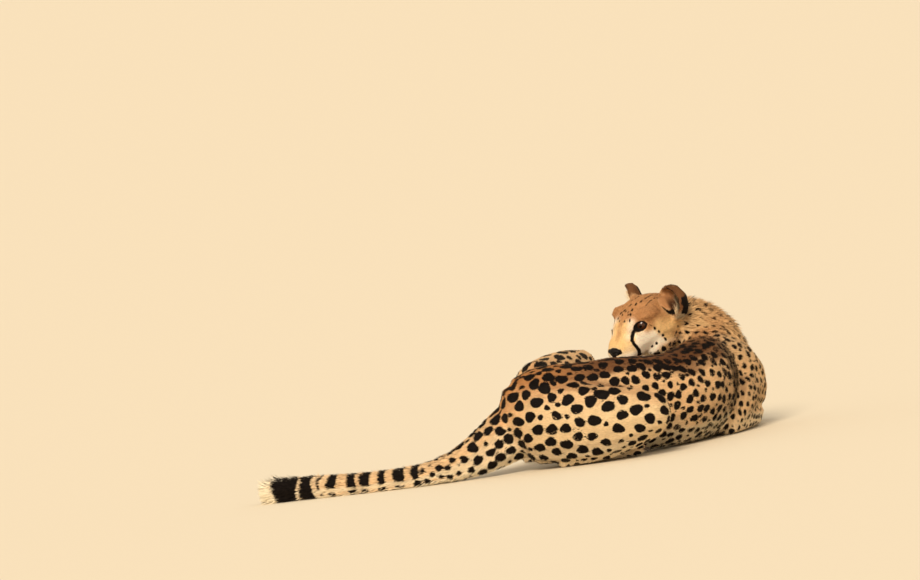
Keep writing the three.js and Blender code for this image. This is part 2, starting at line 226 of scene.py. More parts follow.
# The lie of the coat follows these lines, from the nose back to the tail and down each leg.
# Each station is a place, the body's half width there, and its kind of coat.
lies = {
    "head": [
        ((80, 0, -42), 28, "muzzle"), ((50, 0, -38), 36, "muzzle"), ((20, 0, -28), 48, "skull"),
        ((-15, 0, -14), 58, "skull"), ((-55, 0, -14), 62, "skull"), ((-95, 0, -12), 55, "neck"),
    ],
    "neck": [
        ((124, 376, 257), 56, "nape"), ((166, 400, 241), 57, "nape"), ((196, 410, 214), 58, "nape"),
        ((212, 405, 186), 58, "nape"), ((214, 396, 160), 61, "neck"), ((206, 362, 130), 70, "chest"),
    ],
    "breast": [((200, 392, 170), 58, "chest"), ((192, 404, 120), 60, "chest"), ((182, 396, 60), 56, "chest")],
    "trunk": [
        ((196, 350, 118), 84, "chest"), ((170, 318, 115), 92, "chest"), ((144, 228, 112), 98, "trunk"),
        ((95, 150, 109), 100, "trunk"), ((28, 94, 108), 95, "trunk"), ((-45, 56, 112), 96, "trunk"),
        ((-118, 30, 116), 98, "rump"), ((-188, 12, 120), 100, "rump"), ((-232, 5, 122), 92, "rump"),
        ((-258, 1, 119), 74, "rump"),
    ],
    "tail": [
        ((-262, 10, 104), 66, "tailBase"), ((-300, 9, 80), 58, "tailBase"), ((-352, 4, 56), 44, "tailBase"),
        ((-405, 6, 38), 33, "tail"), ((-470, 18, 27), 24, "tail"), ((-545, 42, 22.5), 23, "tail"),
        ((-635, 84, 22.5), 23.5, "tail"), ((-725, 128, 25), 26, "tail"), ((-790, 158, 27), 29, "tailTip"),
        ((-824, 174, 26), 27, "tailTip"), ((-850, 186, 24), 22, "tailTip"),
    ],
    "hindRight": [
        ((-216, -16, 114), 88, "thigh"), ((-140, -50, 107), 80, "thigh"), ((-70, -72, 99), 70, "thigh"),
        ((0, -84, 97), 56, "thigh"), ((37, -90, 97), 42, "thigh"), ((38, -76, 78), 36, "leg"),
        ((-34, -56, 50), 34, "leg"), ((-106, -40, 35), 30, "leg"), ((-166, -28, 29), 23, "leg"),
        ((-120, -16, 24), 22, "foot"), ((-86, -8, 22), 23, "foot"), ((-30, 4, 19), 24, "foot"),
        ((-2, 10, 16), 22, "foot"),
    ],
    "hindLeft": [
        ((-206, 60, 160), 82, "thigh"), ((-172, 114, 178), 66, "thigh"), ((-132, 168, 193), 52, "thigh"),
        ((-106, 204, 199), 39, "thigh"), ((-104, 210, 186), 36, "leg"), ((-160, 238, 126), 36, "leg"),
        ((-212, 264, 70), 28, "leg"), ((-246, 282, 38), 22, "leg"), ((-200, 298, 26), 22, "foot"),
        ((-144, 310, 22), 23, "foot"), ((-50, 332, 19), 24, "foot"), ((-22, 338, 16), 22, "foot"),
    ],
    "foreRight": [
        ((204, 316, 186), 40, "chest"), ((236, 362, 156), 52, "chest"), ((254, 396, 104), 50, "leg"),
        ((236, 346, 94), 54, "leg"), ((222, 298, 62), 46, "leg"), ((200, 258, 42), 35, "leg"),
        ((228, 322, 36), 35, "leg"), ((252, 398, 31), 30, "leg"), ((256, 462, 26), 24, "leg"),
        ((254, 520, 21), 24, "foot"), ((250, 548, 19), 26, "foot"), ((247, 576, 16), 24, "foot"),
    ],
    "foreLeft": [
        ((152, 334, 184), 36, "chest"), ((130, 380, 154), 48, "chest"), ((112, 424, 102), 50, "leg"),
        ((98, 376, 92), 54, "leg"), ((80, 318, 62), 44, "leg"), ((70, 284, 42), 35, "leg"),
        ((82, 352, 36), 34, "leg"), ((106, 436, 29), 27, "leg"), ((130, 506, 25), 24, "leg"),
        ((149, 562, 21), 24, "foot"), ((158, 588, 19), 26, "foot"), ((164, 612, 16), 24, "foot"),
    ],
}
ears = {
    # black, blackMiddle and blackHalf bound the black patch on the back of the ear
    "left": {"side": 1, "lean": 12, "tilt": -6, "turn": -12, "black": 14, "blackMiddle": 30, "blackHalf": 30},
    "right": {"side": -1, "lean": 25, "tilt": 8, "turn": 45, "black": 14, "blackMiddle": 30, "blackHalf": 30},
}
earBase = (-76, 50, -2)
earHalfWidth = 33
earStations = (22, 44, 66)  # heights up each ear
for name, ear in ears.items():
    turned = np.eye(3)
    earTurns = [("Z", ear["side"] * ear["turn"]), ("Y", ear["tilt"]), ("X", -ear["side"] * ear["lean"])]
    for axis, degrees in earTurns:
        turned = turned @ np.array(Matrix.Rotation(math.radians(degrees), 3, axis))
    ear["turned"] = headTurn @ turned
    ear["base"] = fromHead(np.array(earBase) * (1, ear["side"], 1))
    lies["ear" + name.title()] = [
        (ear["base"] - shift + ear["turned"][:, 2] * height, earHalfWidth, "ear") for height in earStations
    ]
lieNames = list(lies)


# Every line as many close guide points: place, direction, half width, looks, line number, length along it
def guidePoints(step=14):
    rows = []
    for number, name in enumerate(lieNames):
        stations = lies[name]
        places = np.array([s[0] for s in stations], float)
        places = fromHead(places) if name == "head" else places + shift
        widths = np.array([s[1] for s in stations], float)
        wants = np.array([looks[s[2]] for s in stations], float)
        along = 0.0
        for i in range(len(places) - 1):
            span = places[i + 1] - places[i]
            length = np.linalg.norm(span)
            before = places[i + 1] - places[max(i - 1, 0)]
            after = places[min(i + 2, len(places) - 1)] - places[i]
            count = max(int(length / step), 1)
            for k in range(count):
                t = (k + 0.5) / count
                direction = before / np.linalg.norm(before) * (1 - t) + after / np.linalg.norm(after) * t
                rows.append(np.concatenate([
                    places[i] + span * t, direction, [widths[i] * (1 - t) + widths[i + 1] * t],
                    [number, along + t * length], wants[i] * (1 - t) + wants[i + 1] * t,
                ]))
            along += length
    return np.array(rows)


guides = guidePoints()


guideWants = {
    "power": 8,  # how fast a guide's say falls off
    "lieSharper": 2.5,  # the lie changes over a shorter way than the coat's other wants
    "nearest": 0.05, "atOnce": 20000,
}


# what the guides say at each place: the lie of the coat, what it wants, and the share of each line
def readGuides(places):
    lie = np.empty((len(places), 3))
    wants = np.empty((len(places), len(wantNames)))
    shares = np.empty((len(places), len(lieNames)))
    picks = np.eye(len(lieNames))[guides[:, 7].astype(int)]
    for start in range(0, len(places), guideWants["atOnce"]):
        part = slice(start, start + guideWants["atOnce"])
        gap = np.linalg.norm(places[part, None] - guides[None, :, :3], axis=2) / guides[:, 6]
        weight = np.maximum(gap, guideWants["nearest"]) ** -guideWants["power"]
        weight /= weight.sum(1, keepdims=True)
        sharp = weight ** guideWants["lieSharper"]
        lie[part] = (sharp / sharp.sum(1, keepdims=True)) @ guides[:, 3:6]
        wants[part] = weight @ guides[:, 9:]
        shares[part] = weight @ picks
    return lie, dict(zip(wantNames, wants.T)), dict(zip(lieNames, shares.T))


# One skin over all of the flesh, made by joining copies of its solids.
skinWants = {
    "inflate": 0.5,  # closes the thin gaps between the solids
    "voxel": 2.8,
    "smoothBody": 26,
    "smoothHead": 12,
    "smoothEars": 3,
    "foldRadius": 24,  # folds between the body's parts are filled with about this radius
    "foldVoxel": 4.5, "foldSmooth": 6,
    "foldMore": 0.6,  # the filling shrinks back by this much more than it swelled
    "smoothBy": 0.5,
    "keepBody": 0.3,  # share of the body's faces that stay
    "longEdge": 7.5,  # longer edges are halved
    "faceAhead": -28,  # the face is cut finer ahead of this place in the head's own frame
    "rest": 0.9,  # the skin stops this far above the floor
    "headRoom": (-118, 112, -86, 100),  # the head's rear end, half width, lowest and highest
    "earStart": 20,  # the ears are smoothed less above this height
}
claws = [name for name in nodes if name.startswith("claw_")]
flesh = [name for name in nodes if name not in claws and not name.startswith("eye_") and name != "nose"]


def copyOf(name):
    piece = bpy.data.objects.new(name + "Copy", nodes[name].data.copy())
    bpy.context.scene.collection.objects.link(piece)
    editMesh(piece, (bpy.ops.mesh.remove_doubles, {"threshold": 0.002 * mm}))
    return piece


def joinPieces(pieces, name):
    deselectAll()
    for piece in pieces:
        piece.select_set(True)
    bpy.context.view_layer.objects.active = pieces[0]
    bpy.ops.object.join()
    pieces[0].name = name
    return pieces[0]


def isHead(places):
    rear, half, lowest, highest = skinWants["headRoom"]
    x, y, z = toHead(places).T
    return (x > rear) & (np.abs(y) < half) & (z > lowest) & (z < highest)


def groupOf(piece, name, weights):
    group = piece.vertex_groups.new(name=name)
    for level in np.unique(weights):
        group.add(np.nonzero(weights == level)[0].tolist(), float(level), "REPLACE")
    return group.name


# how high up its own ear each place is, or 0 away from the ears
def heightOnEar(places):
    height = np.zeros(len(places))
    for ear in ears.values():
        away = (places - ear["base"]) @ ear["turned"]
        near = np.hypot(away[:, 0], away[:, 1]) < 48
        height = np.where(near, np.maximum(height, away[:, 2]), height)
    return height


# The folds between the body's parts are filled first: copies swell together, and the whole shrinks back.
filled = [name for name in flesh if not name.endswith("_foot") and "ear" != name[:3] and name != "head"]
filling = joinPieces([copyOf(name) for name in filled], "filling")
applyModifier(filling, "DISPLACE", strength=skinWants["foldRadius"] * mm, mid_level=0.0)
applyModifier(filling, "REMESH", mode="VOXEL", voxel_size=skinWants["foldVoxel"] * mm)
applyModifier(filling, "SMOOTH", factor=skinWants["smoothBy"], iterations=skinWants["foldSmooth"])
foldBack = skinWants["foldRadius"] + skinWants["foldMore"]
applyModifier(filling, "DISPLACE", strength=-foldBack * mm, mid_level=0.0)
skin = joinPieces([copyOf(name) for name in flesh + ["eye_left", "eye_right", "nose"]], "skin")
applyModifier(skin, "DISPLACE", strength=skinWants["inflate"] * mm, mid_level=0.0)
skin = joinPieces([skin, filling], "skin")
applyModifier(skin, "REMESH", mode="VOXEL", voxel_size=skinWants["voxel"] * mm)
onHead = isHead(placesOf(skin.data))
onEar = heightOnEar(placesOf(skin.data)) > skinWants["earStart"]
body = groupOf(skin, "body", np.where(onHead, 0.0, 1.0))
skull = groupOf(skin, "skull", np.where(onHead & ~onEar, 1.0, 0.0))
for rounds, group in (("smoothEars", ""), ("smoothHead", skull), ("smoothBody", body)):
    settings = {"factor": skinWants["smoothBy"], "iterations": skinWants[rounds], "vertex_group": group}
    applyModifier(skin, "SMOOTH", **settings)
print("skin joined:", len(skin.data.polygons), "faces")

applyModifier(skin, "DECIMATE", ratio=skinWants["keepBody"], vertex_group=body, use_collapse_triangulate=True)
skin.vertex_groups.clear()
print("skin thinned:", len(skin.data.polygons), "faces")


# each edge's two vertices
def edgesOf(mesh):
    edges = np.empty(len(mesh.edges) * 2, int)
    mesh.edges.foreach_get("vertices", edges)
    return edges.reshape(-1, 2)


# halves the edges where the mask is true
def cutEdges(piece, mask):
    makeActive(piece)
    piece.data.vertices.foreach_set("select", np.zeros(len(piece.data.vertices), bool))
    piece.data.polygons.foreach_set("select", np.zeros(len(piece.data.polygons), bool))
    piece.data.edges.foreach_set("select", mask)
    bpy.ops.object.mode_set(mode="EDIT")
    bpy.context.tool_settings.mesh_select_mode = (False, True, False)
    bpy.ops.mesh.subdivide(number_cuts=1, smoothness=0.6, quadcorner="INNERVERT")
    bpy.ops.mesh.select_all(action="SELECT")
    bpy.ops.mesh.quads_convert_to_tris()
    bpy.ops.object.mode_set(mode="OBJECT")
    print("skin cut finer:", len(piece.data.polygons), "faces")


edges = edgesOf(skin.data)
places = placesOf(skin.data)
cutEdges(skin, np.linalg.norm(places[edges[:, 0]] - places[edges[:, 1]], axis=1) > skinWants["longEdge"])
places = placesOf(skin.data)
onFace = isHead(places) & (toHead(places)[:, 0] > skinWants["faceAhead"])
cutEdges(skin, onFace[edgesOf(skin.data)].all(1))


# The coat's depth: the skin goes in by that much, and less where the animal lies on the floor.
places = placesOf(skin.data)
normals = normalsOf(skin.data)
lie, wants, shares = readGuides(places)
onFloor = smoothStep(0.4, 0.9, -normals[:, 2]) * smoothStep(26, 8, places[:, 2])
places -= normals * (wants["depth"] * (1 - onFloor) + skinWants["inflate"])[:, None]

# the face's features, in the head's own frame; the left side's are mirrored to the right
face = {
    "opening": (14.5, 8.0, 7.8),  # half length, upper and lower height of the eye's opening
    "outward": 28, "slant": 8, "lid": 1.3, "lidWide": 8, "behind": 2.6,
    # the black rim is the real lid rim; the wider rim above the opening is partly painted shade under the
    # brow
    "rimAbove": 4.4, "rimBelow": 2.8,  # dark skin round the opening
    "mouth": [(78, 0, -57), (72, 10, -61), (60, 21, -65), (46, 29, -65), (32, 35, -60), (24, 38, -54)],
    "mouthDeep": 2.6, "mouthWide": 1.7, "underNose": 5.0,
    "philtrum": [(80, 0, -48), (79, 0, -58)], "philtrumFainter": 0.6,
    "lipBlack": 1.7,
    "trough": [(23, 24, 6), (32, 30, 1), (40, 30, -11)], "troughDeep": 4.5, "troughWide": 9,
    "tear": [
        (23, 25, 3), (33, 31, 0), (39, 30, -9), (43, 31, -17), (43, 34, -25), (38, 37, -35), (34, 38, -44),
        (32, 35, -52),
    ],
    "tearWide": [3.4, 4.3, 4.2, 4.0, 3.8, 3.9, 4.5, 5.6],
    "corner": [(5, 47, 10), (1, 50, 7), (-3, 53, 3)],  # the dark line behind the eye
    "cornerWide": [2.4, 1.5, 1.0],
    # dark dashes in a line behind the eye: place and half width
    "dashes": [
        ((-8, 56, -4), 2.7), ((-16, 59, -14), 2.8), ((-24, 62, -25), 3.0), ((-29, 62, -36), 3.5),
        ((-40, 63, -50), 3.6),
    ],
    "dots": [
        ((-6, 56, -38), 2.8), ((2, 49, -43), 2.5), ((-17, 61, -50), 3.0), ((-7, 56, -56), 1.9),
        ((-51, 64, -56), 3.0), ((68, 17, -37), 4.4), ((-62, 62, -40), 2.6), ((-74, 60, -50), 3.0),
        ((-48, 66, -70), 2.6), ((-30, 64, -66), 2.2), ((3, 42, -58), 1.5),
    ],
    # rows of dark dashes up the forehead: first place, last place, how many, half width
    "browRows": [
        ((20, 17, 21), (12, 14, 29), 2, 2.4), ((4, 12, 36), (-12, 7, 45), 2, 2.7),
        ((24, 7, 18), (8, 4, 34), 3, 1.7), ((-26, 12, 50), (-60, 16, 58), 4, 2.2),
        ((-30, 27, 50), (-62, 32, 55), 4, 1.9), ((-8, 28, 42), (-22, 32, 47), 2, 1.5),
    ],
    # soft patches of other colours: place, size, hue, share
    "tones": [
        ((24, 21, 15), 9, "cheek", 0.9), ((34, 24, 6), 8, "cheek", 0.8), ((45, 25, -9), 9, "cheek", 0.6),
        ((12, 50, -4), 7, "brow", 0.5), ((2, 54, -2), 6, "brow", 0.5),
        ((-20, 58, 0), 14, "sand", 0.9), ((-50, 64, -10), 22, "sand", 0.95),
        ((-84, 58, -28), 18, "sand", 0.8),
        ((-56, 64, -30), 9, "brow", 0.6), ((-70, 60, -38), 9, "brow", 0.6), ((-6, 54, 18), 12, "umber", 0.35),
        ((-30, 56, 30), 16, "umber", 0.4), ((-46, 46, 46), 14, "umber", 0.35), ((8, 34, 29), 9, "umber", 0.4),
    ],
}


# 1 on the nose leather's surface, more outside it
def noseSize(local):
    sizes = [np.linalg.norm((local - np.array(at)) / np.array(size), axis=1) for at, size in head["nose"]]
    return np.minimum(*sizes)


# each eye's own frame: ahead along its gaze, along the opening, and up
def eyeFrame(side):
    out = math.radians(face["outward"])
    gaze = headTurn @ np.array((math.cos(out), side * math.sin(out), 0))
    slant = math.radians(face["slant"])
    level = headTurn @ np.array((-math.sin(out), side * math.cos(out), 0))
    up = headTurn @ np.array((0, 0, 1.0))
    along = level * math.cos(slant) + up * math.sin(slant)
    return gaze, along, np.cross(gaze, along) * side


def eyeHeight(points, centre, side):
    return (points - centre) @ eyeFrame(side)[2]


# how far each place is outside the eye's opening, below zero inside it,
# and how far ahead of the eye's middle
def fromOpening(points, centre, side):
    gaze, along, up = eyeFrame(side)
    away = points - centre
    across, height = away @ along, away @ up
    half, upper, lower = face["opening"]
    limit = np.where(height > 0, upper, lower)
    size = np.sqrt((across / half) ** 2 + (height / limit) ** 2)
    corner = np.abs(across) / half
    size += 0.25 * corner ** 4 * (corner < 1.3)
    return (size - 1) * limit * (1 + 0.6 * np.minimum(corner, 1)), away @ gaze


def distanceToLine(points, line, widths=None):
    best = np.full(len(points), aLongWay)
    for i in range(len(line) - 1):
        start, span = line[i], line[i + 1] - line[i]
        t = np.clip((points - start) @ span / (span @ span), 0, 1)
        gap = np.linalg.norm(points - start - t[:, None] * span, axis=1)
        if widths is not None:
            gap = gap - (widths[i] * (1 - t) + widths[i + 1] * t)
        best = np.minimum(best, gap)
    return best


def mirrored(line, side):
    return fromHead(np.array(line, float) * (1, side, 1))


for side, centre in zip((1, -1), eyeCentres):
    hollow = distanceToLine(places, mirrored(face["trough"], side)) / face["troughWide"]
    places -= normals * (face["troughDeep"] * np.exp(-hollow ** 2))[:, None]
    outside, ahead = fromOpening(places, centre, side)
    away = places - centre
    far = np.linalg.norm(away, axis=1)
    near = (ahead > 0) & (far < head["eyeRadius"] + 16)
    inside = near & (outside < 0)
    places[inside] = centre + away[inside] / far[inside, None] * (head["eyeRadius"] - face["behind"])
    lids = near & (outside >= 0)
    snug = smoothStep(face["lidWide"], 0, outside[lids])
    wanted = np.maximum(far[lids], head["eyeRadius"] + face["lid"])
    wanted = wanted + (head["eyeRadius"] + face["lid"] - wanted) * snug
    places[lids] = centre + away[lids] / far[lids, None] * wanted[:, None]

# under the nose leather the skin goes well inside, and the mouth line is cut as a soft groove
places -= normals * (face["underNose"] * smoothStep(1.12, 0.95, noseSize(toHead(places))))[:, None]
mouth = distanceToLine(places, fromHead(face["philtrum"])) + face["philtrumFainter"]
for side in (1, -1):
    mouth = np.minimum(mouth, distanceToLine(places, mirrored(face["mouth"], side)))
places -= normals * (face["mouthDeep"] * np.exp(-(mouth / face["mouthWide"]) ** 2))[:, None]
places[:, 2] = np.maximum(places[:, 2], skinWants["rest"])
movePlaces(skin.data, places)

editMesh(skin, (bpy.ops.uv.smart_project, {"angle_limit": 1.15, "island_margin": 0.002}))
skin.data.uv_layers[0].name = "OFBake"
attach(skin, "root")
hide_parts(*flesh)
makeActive(skin)
bpy.ops.object.shade_smooth()
print("skin shaped")

# the ground colours of the coat; the back, spine and withers hues are darker dorsal coat and partly painted
# shade
hues = {
    "back": "#9c683f", "spine": "#6e472b", "flank": "#e2ba8a", "belly": "#f2e0bd", "thigh": "#e3c69a",
    "rump": "#c78243", "leg": "#e6bf8e", "foot": "#dcb88f", "neck": "#efc68f", "nape": "#d2a06a",
    "withers": "#c08a5a", "tail": "#deb98c", "tailBelow": "#f2e3c4", "brow": "#c08a5a", "umber": "#8d5c36",
    "cheek": "#fff0d8", "sand": "#eec487", "muzzle": "#e9c590", "chin": "#fcf2de", "earRim": "#6b4528",
    # the darkest ear colour is painted shade in the ear's hollow
    "earInside": "#c08a5c", "earHair": "#f0d2a6", "earDeep": "#4a2e1c", "black": "#0e0603",
}
hues = {name: np.array(hexColor(code)[:3]) for name, code in hues.items()}
upOfBody = unit(np.array((0.05, -0.30, 0.95)))
# the tail's black rings, as distances from its tip
tailRings = [
    (48, 106), (115, 146), (160, 168), (181, 202), (230, 252), (262, 284), (303, 323), (342, 366), (384, 402),
]


def mixIn(colour, other, share):
    return colour + (hues[other] - colour) * np.clip(share, 0, 1)[:, None]


# 1 on the line over the withers, where the brown band is partly painted shade, falling off to either side
withersLine = np.array([(144, 250, 225), (176, 330, 222), (196, 380, 240), (170, 396, 262)], float) + shift
withersWide = 40


def nearWithers(points):
    return np.exp(-(distanceToLine(points, withersLine) / withersWide) ** 2)


# how far each place is from the tail's tip, along the tail
tailLine = np.array([station[0] for station in lies["tail"]], float) + shift
tailSteps = np.linalg.norm(np.diff(tailLine, axis=0), axis=1)
tailRest = np.append(np.cumsum(tailSteps[::-1])[::-1], 0)


def fromTip(points):
    best = np.full(len(points), aLongWay)
    found = np.zeros(len(points))
    for i in range(len(tailSteps)):
        span = tailLine[i + 1] - tailLine[i]
        t = (points - tailLine[i]) @ span / (span @ span)
        t = np.clip(t, 0, 1) if i < len(tailSteps) - 1 else np.clip(t, 0, 2)
        gap = np.linalg.norm(points - tailLine[i] - t[:, None] * span, axis=1)
        closer = gap < best
        best[closer] = gap[closer]
        found[closer] = (tailRest[i] - t * tailSteps[i])[closer]
    return found


# where each ground colour starts and is full, by how far a place faces up the back,
# unless a note says otherwise
zones = {
    # back, spine and withers: darker coat along the top, and partly painted shade
    "back": (0.45, 0.95), "spine": (0.5, 0.95), "belly": (-0.1, -0.65), "thigh": (1.0, 0.3),
    "rump": (-0.2, 0.4), "withers": (0.2, 0.7), "mottle": 0.08, "mottleSize": 120,
    "rearward": (-60, -190),  # along the body
    "foot": (60, 25), "sole": (0.2, -0.5),  # by height, and by how far it faces up
    "nape": (-0.2, 0.6), "napeWay": (0.35, 0.55, 0.75),
    "tailBelow": (0.1, -0.6),
    # the tail's white tip and pale end, and where the rings close below, by distance from its tip
    "white": (56, 44), "pale": (215, 120), "paleShare": 0.35, "openBelow": 150,
    # on the head, in its own frame
    "umber": (0.1, 0.9), "fleckSize": 5,
    "cheekTop": (8, -14), "cheekLine": (-5, 7), "cheekLow": (4, -8), "wavy": 2.5, "wavySize": 24,
    "throat": (-34, -60), "throatAhead": (-112, -84),
    "muzzle": (34, 46), "muzzleTop": (-50, -34), "chin": (-46, -60),
    "onTop": (0.2, 0.6), "noseTop": (22, 40), "bridge": (10, 3), "bridgeAhead": (70, 44),
    # on the ears: heights and places across
    # the hollow's dark brown is painted shade
    "hollow": (46, 26), "hollowAhead": (14, 2), "hair": (0, 14), "hairTop": (70, 50), "facesRear": 0.25,
    "plain": 4,  # how far from black an ear's outside is where it faces ahead
}


def zone(name, value):
    return smoothStep(*zones[name], value)


def mixAll(colour, layers):
    for hue, share in layers:
        colour = mixIn(colour, hue, share)
    return colour


# the head: brown above, cream in front of and below the line of dashes, sand behind it
def faceColour(points, normals):
    local = toHead(points)
    ahead, height = local[:, 0], local[:, 2]
    sideways = np.abs(local[:, 1])
    wavy = softNoise(points, zones["wavySize"], 5) * zones["wavy"]
    low = zone("cheekTop", height + wavy + 0.12 * np.maximum(-ahead - 20, 0))
    beforeDashes = (ahead - 5) * 0.795 - (height - 9) * 0.606
    onTop = zone("onTop", normals @ headTurn[:, 2])
    colour = mixAll(np.repeat(hues["brow"][None], len(points), 0), [
        ("umber", zone("umber", softNoise(points, zones["fleckSize"], 7)) * 0.6),
        ("sand", low),
        ("cheek", low * zone("cheekLine", beforeDashes + wavy) * zone("cheekLow", height)),
        ("cheek", zone("throat", height + wavy) * zone("throatAhead", ahead) * 0.9),
        ("muzzle", zone("muzzle", ahead) * zone("muzzleTop", height) * 0.9),
        ("chin", zone("chin", height)),
        ("sand", onTop * zone("noseTop", ahead)),
        ("brow", zone("bridge", sideways) * onTop * zone("bridgeAhead", ahead) * 0.8),
    ])
    mirroredPlaces = np.stack([ahead, sideways, height], 1)
    for at, size, hue, share in face["tones"]:
        near = np.linalg.norm(mirroredPlaces - np.array(at, float), axis=1) / size
        colour = mixIn(colour, hue, share * np.exp(-near ** 2))
    return colour


# how far each place on the face is outside the black round the eyes, tear lines and lips
def faceMarks(points):
    marks = np.full(len(points), farOff)
    for side, centre in zip((1, -1), eyeCentres):
        outside, ahead = fromOpening(points, centre, side)
        # above the opening the black rim is wider, partly painted shade under the brow
        rim = np.where(eyeHeight(points, centre, side) > 0, face["rimAbove"], face["rimBelow"])
        marks = np.where(ahead > 0, np.minimum(marks, outside - rim), marks)
        marks = np.minimum(marks, distanceToLine(points, tearLines[side], face["tearWide"]))
        marks = np.minimum(marks, distanceToLine(points, cornerLines[side], face["cornerWide"]))
        marks = np.minimum(marks, distanceToLine(points, mouthLines[side]) - face["lipBlack"])
    return marks


# the ground colour, and the distance outside the face's, ears' and tail's own black marks
def groundAndMarks(points, normals, shares):
    dorsal = normals @ upOfBody + softNoise(points, zones["mottleSize"], 3) * zones["mottle"]
    onTrunk = np.clip(shares["trunk"] + shares["neck"] + shares["breast"], 0, 1)
    rearward = zone("rearward", points[:, 0] - shift[0])
    withersShadeBand = nearWithers(points)
    low = zone("foot", points[:, 2]) * (1 - shares["trunk"]) * (1 - shares["tail"])
    nape = zone("nape", normals @ unit(np.array(zones["napeWay"])))
    tail = shares["tail"]
    colour = mixAll(np.repeat(hues["flank"][None], len(points), 0), [
        # the back and spine are darker dorsal coat and partly painted shade on the top of the body
        ("back", zone("back", dorsal) * (0.25 + 0.65 * onTrunk)),
        ("rump", rearward * zone("rump", dorsal) * shares["trunk"] * 0.85),
        ("spine", zone("spine", dorsal) * shares["trunk"] * (1 - 0.7 * rearward) * (1 - 0.85 * withersShadeBand)),
        ("belly", zone("belly", dorsal)),
        ("thigh", shares["hindRight"] * zone("thigh", dorsal)),
        ("leg", shares["hindLeft"] * 0.7),
        ("leg", np.clip(shares["foreRight"] + shares["foreLeft"], 0, 1) * 0.7),
        ("foot", low * 0.8),
        ("belly", low * zone("sole", normals[:, 2]) * 0.8),
        ("neck", shares["neck"] * 0.8),
        ("nape", shares["neck"] * nape * 0.25),
        # over the withers a mid brown band: partly dorsal coat, partly painted shade
        ("withers", withersShadeBand * zone("withers", dorsal) * (1 - shares["head"]) * 0.75),
        ("tail", tail),
        ("tailBelow", tail * zone("tailBelow", normals[:, 2])),
    ])
    onHead = smoothStep(0.25, 0.75, shares["head"])[:, None]
    colour = colour + (faceColour(points, normals) - colour) * onHead
    marks = np.full(len(points), farOff)
    for name, ear in ears.items():
        share = smoothStep(0.35, 0.7, shares["ear" + name.title()])
        away = (points - ear["base"]) @ ear["turned"]
        height, forward = away[:, 2], away[:, 0]
        turnedNormal = normals @ ear["turned"]
        outer = (turnedNormal[:, 0] * forward + turnedNormal[:, 1] * away[:, 1]) > 0
        inside = share * np.where(outer, 0.0, 1.0)
        rear = ear["side"] * away[:, 1]
        # inside: tan, with pale hair up the rear side and painted shade in the hollow in front of it
        colour = mixAll(colour, [
            ("earInside", inside),
            ("earDeep", inside * zone("hollow", height) * zone("hollowAhead", forward)),
            ("earHair", inside * zone("hair", rear) * zone("hairTop", height)),
            ("earRim", share * np.where(outer, 1.0, 0.0)),
        ])
        # the back is black between a brown tip and base
        edge = np.maximum(np.abs(height - ear["blackMiddle"]) - ear["blackHalf"], -0.8 * rear - ear["black"])
        edge = np.where(turnedNormal[:, 0] < zones["facesRear"], edge, zones["plain"])
        marks = np.where((share > 0.5) & outer, np.minimum(marks, edge), marks)
    onFace = shares["head"] > 0.3
    if onFace.any():
        marks[onFace] = np.minimum(marks[onFace], faceMarks(points[onFace]))
    onTail = tail > 0.5
    if onTail.any():
        along = fromTip(points[onTail]) + softNoise(points[onTail], 45, 8) * 3.5
        ring = np.full(len(along), farOff)
        for start, end in tailRings:
            ring = np.minimum(ring, np.maximum(start - along, along - end))
        ring = np.where(along > zones["openBelow"], np.maximum(ring, (normals[onTail, 2] * -30) - 9), ring)
        marks[onTail] = np.minimum(marks[onTail], ring)
        white = zone("white", along) + zone("pale", along) * zones["paleShare"]
        colour[onTail] = mixIn(colour[onTail], "tailBelow", white)
    return colour, marks


skinTree = BVHTree.FromPolygons([Vector(p) for p in places], [tuple(f.vertices) for f in skin.data.polygons])


# the nearest places on the skin, kept clear of the eyeballs
def onSkin(line):
    found = np.array([skinTree.find_nearest(Vector(p))[0] for p in line])
    for centre in eyeCentres:
        away = found - centre
        far = np.linalg.norm(away, axis=1, keepdims=True)
        found = centre + away / far * np.maximum(far, head["eyeRadius"] + face["lid"])
    return found


tearLines, mouthLines, cornerLines = [
    {side: onSkin(mirrored(face[name], side)) for side in (1, -1)} for name in ("tear", "mouth", "corner")
]


# points drawn evenly over triangles, more where the wanted number per square millimetre is higher
def scatter(corners, density, draw):
    area = np.linalg.norm(np.cross(corners[:, 1] - corners[:, 0], corners[:, 2] - corners[:, 0]), axis=1) / 2
    total = np.cumsum(area * density)
    count = int(total[-1])
    picks = np.searchsorted(total, (np.arange(count) + draw.uniform(0, 1, count)) / count * total[-1])
    picks = np.minimum(picks, len(corners) - 1)
    a, b = draw.uniform(0, 1, (2, count))
    flip = a + b > 1
    a[flip], b[flip] = 1 - a[flip], 1 - b[flip]
    return picks, np.stack([1 - a - b, a, b], 1)


def cellsOf(points, cell):
    return np.floor(points / cell).astype(int)


# each vertex's values mixed with its neighbours', some times over
def spread(values, edges, rounds):
    ends = edges.ravel()
    others = edges[:, ::-1].ravel()
    count = np.bincount(ends, minlength=len(values))
    for _ in range(rounds):
        values = (values + np.bincount(ends, values[others], len(values))) / (1 + count)
    return values


normals = normalsOf(skin.data)
lie, wants, shares = readGuides(places)
lie = unit(lie - normals * (lie * normals).sum(1, keepdims=True))
edges = edgesOf(skin.data)
for name in lies:
    if name != "head" and not name.startswith("ear"):
        shares[name] = spread(shares[name], edges, 14)
skin.data.calc_loop_triangles()


# three numbers for each of the skin's triangles
def inTriangles(name):
    numbers = np.empty(len(skin.data.loop_triangles) * 3, int)
    skin.data.loop_triangles.foreach_get(name, numbers)
    return numbers.reshape(-1, 3)


triangles = inTriangles("vertices")
corners = places[triangles]


def overTriangle(values, picks, share):
    return (values[triangles[picks]] * (share if values.ndim == 1 else share[..., None])).sum(1)


